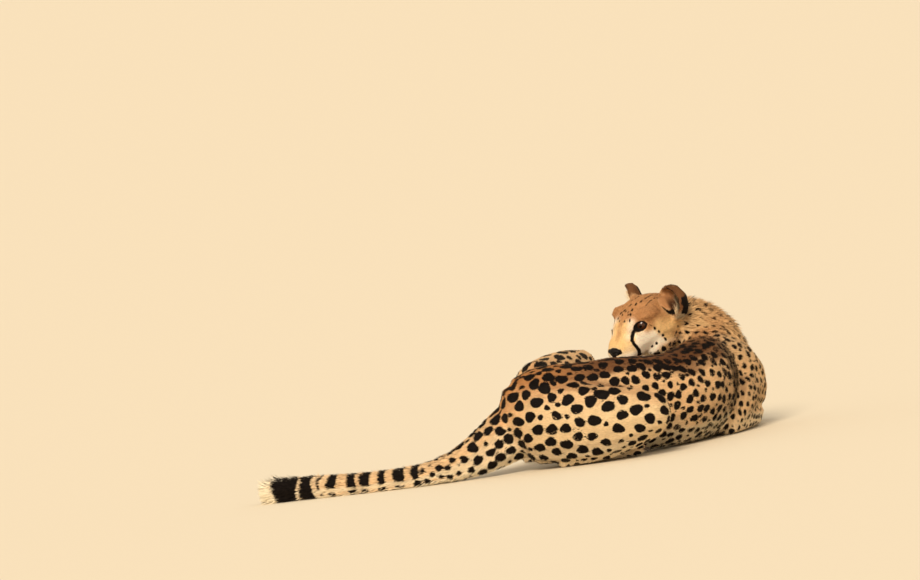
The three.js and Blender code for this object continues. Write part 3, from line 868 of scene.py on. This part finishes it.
# spots: large ones first, at least so far apart, and small ones in what room is left
spotWants = {
    "tries": 18.0, "closest": 0.92, "small": 0.52, "smallGap": 0.74, "vary": 0.13,
    "soft": 0.3,  # how much paler the small ones are
    "cell": 42.0,
    "faceBare": -64, "eyeBare": 27, "ringed": 385,  # none ahead of, nearer to, or nearer the tip than these
    "dashLonger": 1.6, "dashMore": 0.8, "dotMore": 0.7, "dotLonger": 1.1, "dashStray": 1.5,
    "overBack": 0.16,  # how much larger they are along the back
    "withersLess": 0.3,  # and how much smaller over the withers
    "waves": (0.10, 0.07),  # how far each outline departs from an oval
    "farthest": 26.0,  # no spot reaches further than this
}


def chooseSpots():
    draw = np.random.default_rng(5)
    gap = wants["spotGap"][triangles].mean(1)
    picks, share = scatter(corners, spotWants["tries"] / gap ** 2, draw)
    order = draw.permutation(len(picks))
    picks, share = picks[order], share[order]
    point = overTriangle(places, picks, share)
    gap = overTriangle(wants["spotGap"], picks, share)
    cells = cellsOf(point, spotWants["cell"])
    steps = list(itertools.product((-1, 0, 1), repeat=3))
    kept = {}
    chosen = []
    for small, room in ((False, spotWants["closest"]), (True, spotWants["smallGap"])):
        for i in range(len(point)):
            x, y, z = cells[i]
            near = [other for dx, dy, dz in steps for other in kept.get((x + dx, y + dy, z + dz), ())]
            if all(math.dist(point[i], point[other]) >= (gap[i] + gap[other]) / 2 * room for other in near):
                kept.setdefault((x, y, z), []).append(i)
                chosen.append((i, small))
    index, small = np.array(chosen).T
    return point[index], picks[index], share[index], small.astype(bool), draw


def atSpots(values):
    return overTriangle(values, spotFaces, spotShares)


spotPlaces, spotFaces, spotShares, spotSmall, spotDraw = chooseSpots()
spotRadius = atSpots(wants["spotWide"]) / 2
spotRadius *= 1 + spotWants["overBack"] * smoothStep(0.5, 0.95, atSpots(normals) @ upOfBody)
spotRadius *= 1 - spotWants["withersLess"] * nearWithers(spotPlaces)
varied = spotDraw.uniform(1 - spotWants["vary"], 1 + spotWants["vary"], len(spotRadius))
spotRadius *= np.where(spotSmall, spotWants["small"], 1.0) * varied
spotLie = unit(atSpots(lie))
spotNormal = unit(atSpots(normals))
spotAcross = np.cross(spotNormal, spotLie)
spotShape = spotDraw.uniform(0, 6.28, (len(spotRadius), 2))  # where each outline's waves start
print("spots:", len(spotPlaces))


# not on the face, the ears or the ringed part of the tail, which have marks of their own
def wantedSpots():
    pale = (atSpots(shares["head"]) > 0.45) & (toHead(spotPlaces)[:, 0] > spotWants["faceBare"])
    nearEye = np.zeros(len(spotPlaces), bool)
    for centre in eyeCentres:
        nearEye |= np.linalg.norm(spotPlaces - centre, axis=1) < spotWants["eyeBare"]
    ringed = (atSpots(shares["tail"]) > 0.5) & (fromTip(spotPlaces) < spotWants["ringed"])
    onEar = atSpots(shares["earLeft"]) + atSpots(shares["earRight"]) > 0.4
    return ~(pale | nearEye | ringed | onEar)


keepSpots = wantedSpots()
extra = []  # place, half width, how much longer, and the way it points
for side in (1, -1):
    dashLine = mirrored([at for at, _ in face["dashes"]], side)
    dashWays = np.gradient(dashLine, axis=0)
    for point, way, (_, radius) in zip(dashLine, dashWays, face["dashes"]):
        extra.append((point, radius + spotWants["dashMore"], spotWants["dashLonger"], way))
    for at, radius in face["dots"]:
        dot = mirrored([at], side)[0]
        extra.append((dot, radius + spotWants["dotMore"], spotWants["dotLonger"], headTurn[:, 2]))
    for start, end, count, radius in face["browRows"]:
        row = mirrored(np.linspace(start, end, count), side)
        for point in row:
            at = point + spotDraw.normal(0, spotWants["dashStray"], 3)
            longer = spotWants["dashLonger"] * spotDraw.uniform(1.0, 1.7)
            extra.append((at, radius + spotWants["dotMore"], longer, row[-1] - row[0]))
extraPlaces, extraRadius, extraLonger, extraLie = [np.array(column) for column in zip(*extra)]
nearest = [skinTree.find_nearest(Vector(point))[:2] for point in extraPlaces]
extraPlaces, extraNormals = [np.array(column) for column in zip(*nearest)]
extraLie = unit(extraLie - extraNormals * (extraLie * extraNormals).sum(1, keepdims=True))


def withExtra(values, more):
    return np.concatenate([values[keepSpots], more])


spotLonger = withExtra(atSpots(wants["oval"]), extraLonger)
spotSoft = withExtra(np.where(spotSmall, spotWants["soft"], 0.0), np.zeros(len(extra)))
spotPlaces = withExtra(spotPlaces, extraPlaces)
spotRadius = withExtra(spotRadius, extraRadius)
spotLie = withExtra(spotLie, extraLie)
spotNormal = withExtra(spotNormal, extraNormals)
spotAcross = withExtra(spotAcross, np.cross(extraNormals, extraLie))
spotShape = withExtra(spotShape, spotDraw.uniform(0, 6.28, (len(extra), 2)))


# distance outside the nearest spot, below zero inside it
def spotDistance(points, normals):
    result = np.full(len(points), farOff)
    cells = cellsOf(points, spotWants["farthest"])
    low = cells.min(0) - 1
    size = cells.max(0) - low + 2
    flat = ((cells[:, 0] - low[0]) * size[1] + cells[:, 1] - low[1]) * size[2] + cells[:, 2] - low[2]
    order = np.argsort(flat, kind="stable")
    ordered = flat[order]
    spotCells = cellsOf(spotPlaces, spotWants["farthest"]) - low
    second, third = spotWants["waves"]
    for i in range(len(spotPlaces)):
        x, y, z = spotCells[i]
        groups = []
        for dx in (-1, 0, 1):
            for dy in (-1, 0, 1):
                base = ((x + dx) * size[1] + y + dy) * size[2] + z
                start, end = np.searchsorted(ordered, (base - 1, base + 2))
                if end > start:
                    groups.append(order[start:end])
        if not groups:
            continue
        near = np.concatenate(groups)
        away = points[near] - spotPlaces[i]
        along = away @ spotLie[i] / math.sqrt(spotLonger[i])
        across = away @ spotAcross[i] * math.sqrt(spotLonger[i])
        out = away @ spotNormal[i]
        angle = np.arctan2(across, along)
        wave = second * np.sin(2 * angle + spotShape[i, 0]) + third * np.sin(3 * angle + spotShape[i, 1])
        radius = spotRadius[i] * (1 + wave)
        gap = np.sqrt(along ** 2 + across ** 2 + out ** 2) - radius + spotSoft[i]
        gap = np.where(normals[near] @ spotNormal[i] > 0.1, gap, farOff)
        result[near] = np.minimum(result[near], gap)
    return result


def opaque(colours):
    return np.concatenate([colours, np.ones((len(colours), 1))], 1)


def paint(points, normals, shares):
    ground, marks = groundAndMarks(points, normals, shares)
    return ground, np.minimum(marks, spotDistance(points, normals))


ground, spot = paint(places, normals, shares)
setAttribute(skin.data, "ground", "FLOAT_COLOR", opaque(ground))
setAttribute(skin.data, "spot", "FLOAT", spot)
setAttribute(skin.data, "blur", "FLOAT", wants["blur"])
print("skin painted")


furWants = {
    "ragged": 3.0, "raggedSize": 7,  # how far a spot's edge strays, and over what length
    "patchSize": 38, "palest": 1.14, "darkest": 0.86,
    "hairSize": 2.4, "hairHeight": 0.9, "sheen": "#ffe9c8",
}


# Short guard hair over felted under-fur: matt, with a faint warm sheen, black where a spot lies.
def coatMaterial(name, tufts):
    material, tree = newMaterial(name)
    place = objectPlace(tree)
    blur = readAttribute(tree, "blur")
    wobble = addNoise(tree, place, furWants["raggedSize"], 3.0)
    shifted = addNode(tree, "ShaderNodeMath", {"operation": "MULTIPLY_ADD"}, {
        0: wobble, 1: furWants["ragged"], 2: readAttribute(tree, "spot"),
    })
    centred = addNode(tree, "ShaderNodeMath", {"operation": "SUBTRACT"}, {
        0: shifted.outputs[0], 1: furWants["ragged"] / 2,
    })
    below = addNode(tree, "ShaderNodeMath", {"operation": "MULTIPLY"}, {0: blur, 1: -1.0})
    black = addNode(tree, "ShaderNodeMapRange", {"interpolation_type": "SMOOTHSTEP"}, {
        "Value": centred.outputs[0], "From Min": below.outputs[0], "From Max": blur,
        "To Min": 1.0, "To Max": 0.0,
    })
    patches = addNoise(tree, place, furWants["patchSize"], 2.0)
    tone = addNode(tree, "ShaderNodeMapRange", None, {
        "Value": patches, "To Min": furWants["darkest"], "To Max": furWants["palest"],
    }).outputs[0]
    if tufts:
        # each tuft's random tone, with painted shade at the roots and painted light at the tips and ridges
        own = readAttribute(tree, "tone")
        tone = addNode(tree, "ShaderNodeMath", {"operation": "MULTIPLY"}, {0: tone, 1: own}).outputs[0]
    ground = readAttribute(tree, "ground", "Color")
    warm = addNode(tree, "ShaderNodeVectorMath", {"operation": "SCALE"}, {0: ground, "Scale": tone})
    inputs = {
        "Base Color": addMix(tree, black.outputs[0], warm.outputs[0], tuple(hues["black"]) + (1.0,)),
        "Roughness": 0.72, "Specular IOR Level": 0.14,
        "Sheen Weight": 0.05, "Sheen Roughness": 0.5, "Sheen Tint": hexColor(furWants["sheen"]),
    }
    if not tufts:
        hair = addNoise(tree, place, furWants["hairSize"], 4.0)
        inputs["Normal"] = addNode(tree, "ShaderNodeBump", None, {
            "Strength": 0.6, "Distance": furWants["hairHeight"] * mm, "Height": hair,
        }).outputs[0]
    finishMaterial(tree, inputs)
    return material


skin.data.materials.clear()
skin.data.materials.append(coatMaterial("skinUnderFur", False))

# the coat: tufts that lie over one another, in pieces by the part of the body
coatWants = {
    "cover": 1.9,  # how many tufts lie over each place
    "sunk": 0.7,  # how deep each root is in the skin
    "turn": 0.17, "swirl": 0.15, "varyLong": 0.22, "varyWide": 0.2, "varyLift": 0.25, "tone": 0.10,
    "swirlSize": 60, "clumpSize": 16, "clump": 0.3,
    "wildFrom": 9, "wildTo": 24,  # tufts of these lengths lie neat, and wild
    "brush": 42,  # the brush starts this far from the tail's tip
    "earLonger": 2.2, "earLift": 0.5,  # the pale hair inside the ears
    "ridge": 0.34,  # a tuft's height for its width
    "pressed": {"facing": (-0.75, -0.9), "height": (7, 4)},  # bare where it lies on the floor
    "noseFrom": 62, "noseHalf": 24, "eyeReach": 40,
    "byEye": 0.55,  # how small the tufts are by the eyes
    "patch": 0.0015,  # half width of a tuft's patch in the unwrap
    "most": 31000,  # tufts in one piece
    "finer": 14,  # tufts longer than this have another ring
    "lowest": 0.35,  # nothing comes nearer to the floor
    "seenFrom": 0.4, "seenTo": 0.92,  # the part of each tuft that shows: its marks are those of these places
}
unwrap = np.empty(len(skin.data.loops) * 2, np.float32)
skin.data.uv_layers["OFBake"].data.foreach_get("uv", unwrap)
unwrap = unwrap.reshape(-1, 2)
triangleLoops = inTriangles("loops")

# one tuft's faces by how many rings it has: a root, rings of left, right and ridge, and a tip
tuftFaces = {
    1: [(0, 2, 3), (0, 3, 1), (2, 4, 3), (3, 4, 1), (0, 1, 2), (1, 4, 2)],
    2: [(0, 2, 3), (0, 3, 1), (0, 1, 2), (2, 5, 6), (2, 6, 3), (3, 6, 4), (3, 4, 1), (1, 4, 5), (1, 5, 2),
        (5, 7, 6), (6, 7, 4), (4, 7, 5)],
}


# how much grows at each place: 0 on the eyes, the nose leather and the parts pressed to the floor
def hairiness(points, normals):
    pressed = coatWants["pressed"]
    grow = 1 - smoothStep(*pressed["facing"], normals[:, 2]) * smoothStep(*pressed["height"], points[:, 2])
    local = toHead(points)
    nearNose = (local[:, 0] > coatWants["noseFrom"]) & (np.abs(local[:, 1]) < coatWants["noseHalf"])
    grow[nearNose] *= smoothStep(1.0, 1.12, noseSize(local[nearNose]))
    for side, centre in zip((1, -1), eyeCentres):
        near = np.linalg.norm(points - centre, axis=1) < coatWants["eyeReach"]
        outside, ahead = fromOpening(points[near], centre, side)
        grow[near] *= np.where(ahead > 0, smoothStep(0.8, 2.0, outside), 1.0)
    return grow


def makeCoat():
    draw = np.random.default_rng(23)
    grow = hairiness(places, normals)
    nearEye = np.min([np.linalg.norm(places - centre, axis=1) for centre in eyeCentres], axis=0)
    small = 1 + (coatWants["byEye"] - 1) * smoothStep(34, 18, nearEye)
    long, wide = wants["long"] * small, wants["wide"] * small
    area = (long * wide * 0.5)[triangles].mean(1)
    density = coatWants["cover"] / area * (grow[triangles].min(1) > 0.5)
    picks, share = scatter(corners, density, draw)
    count = len(picks)
    root = overTriangle(places, picks, share)
    out = unit(overTriangle(normals, picks, share))
    flow = unit(overTriangle(lie, picks, share))
    want = {name: overTriangle(values, picks, share) for name, values in wants.items()}
    part = {name: overTriangle(values, picks, share) for name, values in shares.items()}
    size = overTriangle(small, picks, share)
    uv = (unwrap[triangleLoops[picks]] * share[..., None]).sum(1)

    # the lie: slow swirls over the body and each tuft's own turn, wilder where the coat is long
    wild = smoothStep(coatWants["wildFrom"], coatWants["wildTo"], want["long"])
    swirl = softNoise(root, coatWants["swirlSize"], 31) * coatWants["swirl"] * (0.5 + 1.6 * wild)
    turn = swirl + draw.normal(0, 1, count) * coatWants["turn"] * (0.7 + 1.1 * wild)
    flow = unit(flow - out * (flow * out).sum(1, keepdims=True))
    across = np.cross(out, flow)
    flow = flow * np.cos(turn)[:, None] + across * np.sin(turn)[:, None]
    across = np.cross(out, flow)
    length = want["long"] * size * (1 + coatWants["varyLong"] * draw.uniform(-1, 1, count))
    width = want["wide"] * size * (1 + coatWants["varyWide"] * draw.uniform(-1, 1, count))
    toTip = np.where(part["tail"] > 0.5, fromTip(root), aLongWay)
    brush = smoothStep(coatWants["brush"], 4, toTip)[:, None] * 0.8
    tailWay = unit(tailLine[-1] - tailLine[-2])
    flow = unit(flow * (1 - brush) + tailWay * brush)
    length = np.minimum(length, 7 + 0.75 * np.maximum(toTip + 14, 0) * draw.uniform(0.7, 1.1, count))
    for name, ear in ears.items():
        away = (root - ear["base"]) @ ear["turned"]
        inner = (part["ear" + name.title()] > 0.5) & ((out @ ear["turned"] * away)[:, :2].sum(1) < 0)
        rear = smoothStep(4, 16, ear["side"] * away[:, 1]) * smoothStep(64, 46, away[:, 2]) * inner
        length = length * (1 + coatWants["earLonger"] * rear)
        want["lift"] = want["lift"] + coatWants["earLift"] * rear
    length = fitLength(root, flow, out, length, want["lift"], draw)
    clump = softNoise(root, coatWants["clumpSize"], 33) * coatWants["clump"] * wild
    lift = want["lift"] * (1 + clump + coatWants["varyLift"] * draw.uniform(-1, 1, count))
    ground, spot = paint(root + flow * (coatWants["seenFrom"] * length)[:, None], out, part)
    spotAhead = paint(root + flow * (coatWants["seenTo"] * length)[:, None], out, part)[1]
    tone = 1 + coatWants["tone"] * (1 + part["head"]) * draw.uniform(-1, 1, count)

    names = np.array(lieNames)[np.argmax(np.stack(list(part.values())), axis=0)]
    names[np.isin(names, ["earLeft", "earRight"])] = "head"
    for name in np.unique(names):
        members = np.nonzero(names == name)[0]
        members = members[np.argsort(root[members, 0])]
        rings = 2 if want["long"][members].mean() > coatWants["finer"] else 1
        most = coatWants["most"] // rings
        pieces = max(1, math.ceil(len(members) / most))
        for number, chosen in enumerate(np.array_split(members, pieces)):
            label = "coat" + name[0].upper() + name[1:] + ("" if pieces == 1 else str(number + 1))
            tufts = [root, out, flow, across, length, width, lift, ground, spot, spotAhead, want["blur"]]
            addTufts(label, rings, *[values[chosen] for values in tufts + [tone, uv]])


# shorter where the tips would leave the solids' own box
def fitLength(root, flow, out, length, lift, draw):
    low, high = np.array(cadBox[0]) / mm + 1, np.array(cadBox[1]) / mm - 1
    low[2] = -aLongWay
    step = (flow + out * lift[:, None]) * length[:, None]
    above, below = (high - root) / np.maximum(step, 1e-6), (low - root) / np.minimum(step, -1e-6)
    room = np.where(step > 0, above, below).min(1)
    return np.where(room < 1, length * np.clip(room, 0.1, 1) * draw.uniform(0.6, 1, len(length)), length)


# one piece of the coat, from one row of values for each tuft
def addTufts(
    label, rings, root, out, flow, across, length, width, lift, ground, spot, spotAhead, blur, tone, uv,
):
    count = len(root)
    # how far along each station is, and how wide for the tuft's width
    middles = [((k + 0.7) / (rings + 0.9), 1.0 if k == 0 else 0.7) for k in range(rings)]
    stations = [(0.0, 0.0)] + middles + [(1.0, 0.0)]
    points, facing, shade, flat, marks = [], [], [], [], []
    patch, seenFrom = coatWants["patch"], coatWants["seenFrom"]
    for t, wide in stations:
        rise = lift * length * (1.25 * t - 0.25 * t * t)
        ahead = max(t - seenFrom, 0) / (1 - seenFrom)
        mark = spot + (spotAhead - spot) * ahead
        middle = root + flow * (length * t * 0.96)[:, None] + out * rise[:, None]
        if wide == 0:
            sunk = coatWants["sunk"] if t == 0 else 0.0
            points.append(middle - out * sunk)
            facing.append(unit(out + flow * (0.3 * t)))
            # painted shade: darker at the root, where the tufts lie over one another; painted light: lighter
            # toward the tip
            shade.append(tone * (0.80 + 0.34 * t))
            marks.append(mark)
            flat.append(uv + np.array((0, (t * 2 - 1) * patch)))
            continue
        half = (width * wide / 2)[:, None]
        ridge = (coatWants["ridge"] * width * wide)[:, None]
        for sideways, up in ((1, 0), (-1, 0), (0, 1)):
            points.append(middle + across * (half * sideways) + out * (ridge * up))
            facing.append(unit(out + across * (0.45 * sideways)))
            # painted light: the ridge a little lighter than the sides
            shade.append(tone * (0.88 + 0.2 * t + 0.06 * up))
            marks.append(mark)
            flat.append(uv + np.array((sideways * patch, (t * 2 - 1) * patch)))
    each = len(points)
    vertices = np.stack(points, 1).reshape(-1, 3)
    low, high = np.array(cadBox[0]) / mm, np.array(cadBox[1]) / mm
    low[2] = coatWants["lowest"]
    vertices = np.clip(vertices, low + 0.05, high - 0.05)
    facing = np.stack(facing, 1).reshape(-1, 3)
    shade = np.stack(shade, 1).reshape(-1)
    flat = np.stack(flat, 1).reshape(-1, 2)
    pattern = np.array(tuftFaces[rings])
    faces = (pattern[None] + (np.arange(count) * each)[:, None, None]).reshape(-1, 3)
    mesh = bpy.data.meshes.new(label)
    mesh.vertices.add(len(vertices))
    mesh.vertices.foreach_set("co", (vertices * mm).astype(np.float32).ravel())
    mesh.loops.add(faces.size)
    mesh.loops.foreach_set("vertex_index", faces.ravel().astype(np.int32))
    mesh.polygons.add(len(faces))
    mesh.polygons.foreach_set("loop_start", np.arange(0, faces.size, 3, dtype=np.int32))
    mesh.update(calc_edges=True)
    mesh.uv_layers.new(name="OFBake").data.foreach_set("uv", flat[faces.ravel()].astype(np.float32).ravel())
    setAttribute(mesh, "ground", "FLOAT_COLOR", np.repeat(opaque(ground), each, 0))
    setAttribute(mesh, "spot", "FLOAT", np.stack(marks, 1).reshape(-1))
    setAttribute(mesh, "blur", "FLOAT", np.repeat(blur, each))
    # tone: each tuft's random tone times its painted shade and painted light
    setAttribute(mesh, "tone", "FLOAT", shade)
    mesh.shade_smooth()
    mesh.normals_split_custom_set_from_vertices(facing.tolist())
    mesh.materials.append(furMaterial)
    piece = bpy.data.objects.new(label, mesh)
    bpy.context.scene.collection.objects.link(piece)
    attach(piece, "root")
    print(label, len(faces), "triangles")


furMaterial = coatMaterial("shortFur", True)
makeCoat()

# the eyes: balls with the eyeball's own bulge over the iris
eyeWants = {
    "iris": 9.4, "pupil": 3.4, "bulge": 0.9, "bulgeWide": 9.0,
    "amber": "#55301a", "deep": "#2a1409", "rim": "#0b0604", "white": "#241811",
    "streaks": 1.6, "ringWide": 2.2, "behind": 40,
}


# wet and glossy: a dark brown ring round an amber iris and a round black pupil
def eyeMaterial():
    material, tree = newMaterial("wetEye")
    away = readAttribute(tree, "fromPupil")
    streaks = addNoise(tree, objectPlace(tree), eyeWants["streaks"], 3.0)
    colour = addMix(tree, streaks, hexColor(eyeWants["deep"]), hexColor(eyeWants["amber"]))
    rings = [  # place, softness, and the colour inside or outside it
        (eyeWants["pupil"], 0.4, eyeWants["rim"], None), (eyeWants["iris"], 0.8, None, eyeWants["rim"]),
        (eyeWants["iris"] + eyeWants["ringWide"], 1.2, None, eyeWants["white"]),
    ]
    for at, soft, inner, outer in rings:
        step = addNode(tree, "ShaderNodeMapRange", {"interpolation_type": "SMOOTHSTEP"}, {
            "Value": away, "From Min": at - soft, "From Max": at + soft,
        }).outputs[0]
        if outer:
            colour = addMix(tree, step, colour, hexColor(outer))
        else:
            colour = addMix(tree, step, hexColor(inner), colour)
    finishMaterial(tree, {
        "Base Color": colour, "Roughness": 0.15, "Coat Weight": 0.3, "Coat Roughness": 0.03,
        "Specular IOR Level": 0.3,
    })
    return material


wetEye = eyeMaterial()
for side, centre, name in zip((1, -1), eyeCentres, ("left", "right")):
    deselectAll()
    bpy.ops.mesh.primitive_uv_sphere_add(segments=64, ring_count=40, radius=head["eyeRadius"] * mm)
    eye = bpy.context.object
    eye.name = "eye" + name.title()
    gaze = eyeFrame(side)[0]
    ball = placesOf(eye.data)
    far = np.linalg.norm(np.cross(ball, gaze), axis=1)
    ahead = ball @ gaze > 0
    rise = eyeWants["bulge"] * smoothStep(eyeWants["bulgeWide"], 0, far) * ahead
    setAttribute(eye.data, "fromPupil", "FLOAT", np.where(ahead, far, eyeWants["behind"]))
    movePlaces(eye.data, centre + ball * (1 + rise / head["eyeRadius"])[:, None])
    bpy.ops.object.shade_smooth()
    eye.data.materials.append(wetEye)
    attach(eye, "root")
    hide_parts("eye_" + name)

# the nose leather: the solid's own form with nostrils and a cleft pressed into it
noseWants = {
    "voxel": 0.8, "smooth": 4, "colour": "#0a0504", "pale": "#150d0a", "pebble": 1.3, "pebbleHigh": 0.5,
    "nostril": [(82, 4.5, -39), (79, 9, -37.5), (75, 12.5, -39.5)], "nostrilDeep": 3.4, "nostrilWide": 2.0,
    "cleft": [(82, 0, -34), (80, 0, -50)], "cleftDeep": 0.9, "cleftWide": 0.9,
}
nose = copyOf("nose")
nose.name = "noseLeather"
applyModifier(nose, "REMESH", mode="VOXEL", voxel_size=noseWants["voxel"] * mm)
applyModifier(nose, "SMOOTH", factor=0.5, iterations=noseWants["smooth"])
leather = placesOf(nose.data)
leatherNormals = normalsOf(nose.data)
gap = distanceToLine(leather, fromHead(noseWants["cleft"]))
dents = noseWants["cleftDeep"] * np.exp(-(gap / noseWants["cleftWide"]) ** 2)
for side in (1, -1):
    gap = distanceToLine(leather, mirrored(noseWants["nostril"], side))
    dents = dents + noseWants["nostrilDeep"] * np.exp(-(gap / noseWants["nostrilWide"]) ** 2)
movePlaces(nose.data, leather - leatherNormals * dents[:, None])
makeActive(nose)
bpy.ops.object.shade_smooth()

# dark pebbled leather: small round bumps, half matt, a little paler on top of them
material, tree = newMaterial("noseSkin")
pebbles = addNode(tree, "ShaderNodeTexVoronoi", {"feature": "SMOOTH_F1"}, {
    "Vector": objectPlace(tree), "Scale": 1 / (noseWants["pebble"] * mm),
}).outputs["Distance"]
bump = addNode(tree, "ShaderNodeBump", {"invert": True}, {
    "Strength": 0.6, "Distance": noseWants["pebbleHigh"] * mm, "Height": pebbles,
})
finishMaterial(tree, {
    "Base Color": addMix(tree, pebbles, hexColor(noseWants["pale"]), hexColor(noseWants["colour"])),
    "Roughness": 0.55, "Specular IOR Level": 0.2, "Normal": bump.outputs[0],
})
nose.data.materials.clear()
nose.data.materials.append(material)
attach(nose, "root")
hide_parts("nose")

clawWants = {"dark": "#2a211b", "pale": "#6b5a4a", "grain": 2.0, "rounder": 2}
# dark horn, a little streaked along its length, with a dull shine
horn, tree = newMaterial("clawHorn")
grain = addNoise(tree, objectPlace(tree), clawWants["grain"], 4.0)
finishMaterial(tree, {
    "Base Color": addMix(tree, grain, hexColor(clawWants["dark"]), hexColor(clawWants["pale"])),
    "Roughness": 0.35,
})
for name in claws:
    claw = copyOf(name)
    claw.name = name.replace("_", " ").title().replace(" ", "").replace("Claw", "claw")
    applyModifier(claw, "SUBSURF", levels=clawWants["rounder"], render_levels=clawWants["rounder"])
    makeActive(claw)
    bpy.ops.object.shade_smooth()
    claw.data.materials.clear()
    claw.data.materials.append(horn)
    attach(claw, "root")
    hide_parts(name)
print("eyes, nose and claws done")

# the studio: a pale floor, a soft sky, one soft low sun, and the camera
stageWants = {
    "floor": "#ecdfc6", "wide": 200,  # metres
    "sun": 3.1, "sunSoft": 22, "sunColour": "#fff1dc", "sunWay": (0.18, 0.95, -0.62),
    "sky": "#fff4e4", "skyLight": 0.62,
    "lens": 800, "away": 45, "farthest": 400, "elevation": 3.5, "roll": 8.2, "aim": (-343, 150, 408),
}
bpy.ops.mesh.primitive_plane_add(size=stageWants["wide"])
floor = bpy.context.object
floor.name = "floor"
paper, tree = newMaterial("paleStudioFloor")
finishMaterial(tree, {"Base Color": hexColor(stageWants["floor"]), "Roughness": 0.9})
floor.data.materials.append(paper)

world = bpy.data.worlds.new("softRoom")
world.use_nodes = True
sky = world.node_tree.nodes["Background"]
sky.inputs["Color"].default_value = hexColor(stageWants["sky"])
sky.inputs["Strength"].default_value = stageWants["skyLight"]
bpy.context.scene.world = world

sun = bpy.data.lights.new("key", "SUN")
sun.energy = stageWants["sun"]
sun.angle = math.radians(stageWants["sunSoft"])
sun.color = hexColor(stageWants["sunColour"])[:3]
sunPlace = bpy.data.objects.new("key", sun)
sunPlace.rotation_euler = Vector(stageWants["sunWay"]).to_track_quat("-Z", "Y").to_euler()
bpy.context.scene.collection.objects.link(sunPlace)

camera = bpy.data.objects.new("camera", bpy.data.cameras.new("camera"))
bpy.context.scene.collection.objects.link(camera)
tilt = math.radians(stageWants["elevation"])
forward = Vector((0, math.cos(tilt), -math.sin(tilt)))
aim = Vector((np.array(stageWants["aim"]) + shift) * mm)
camera.location = aim - forward * stageWants["away"]
upright = forward.to_track_quat("-Z", "Y")
camera.rotation_mode = "QUATERNION"
roll = Matrix.Rotation(math.radians(stageWants["roll"]), 4, forward)
camera.rotation_quaternion = roll.to_quaternion() @ upright
camera.data.lens = stageWants["lens"]
camera.data.clip_end = stageWants["farthest"]
bpy.context.scene.camera = camera
bpy.context.scene.view_settings.view_transform = "Standard"
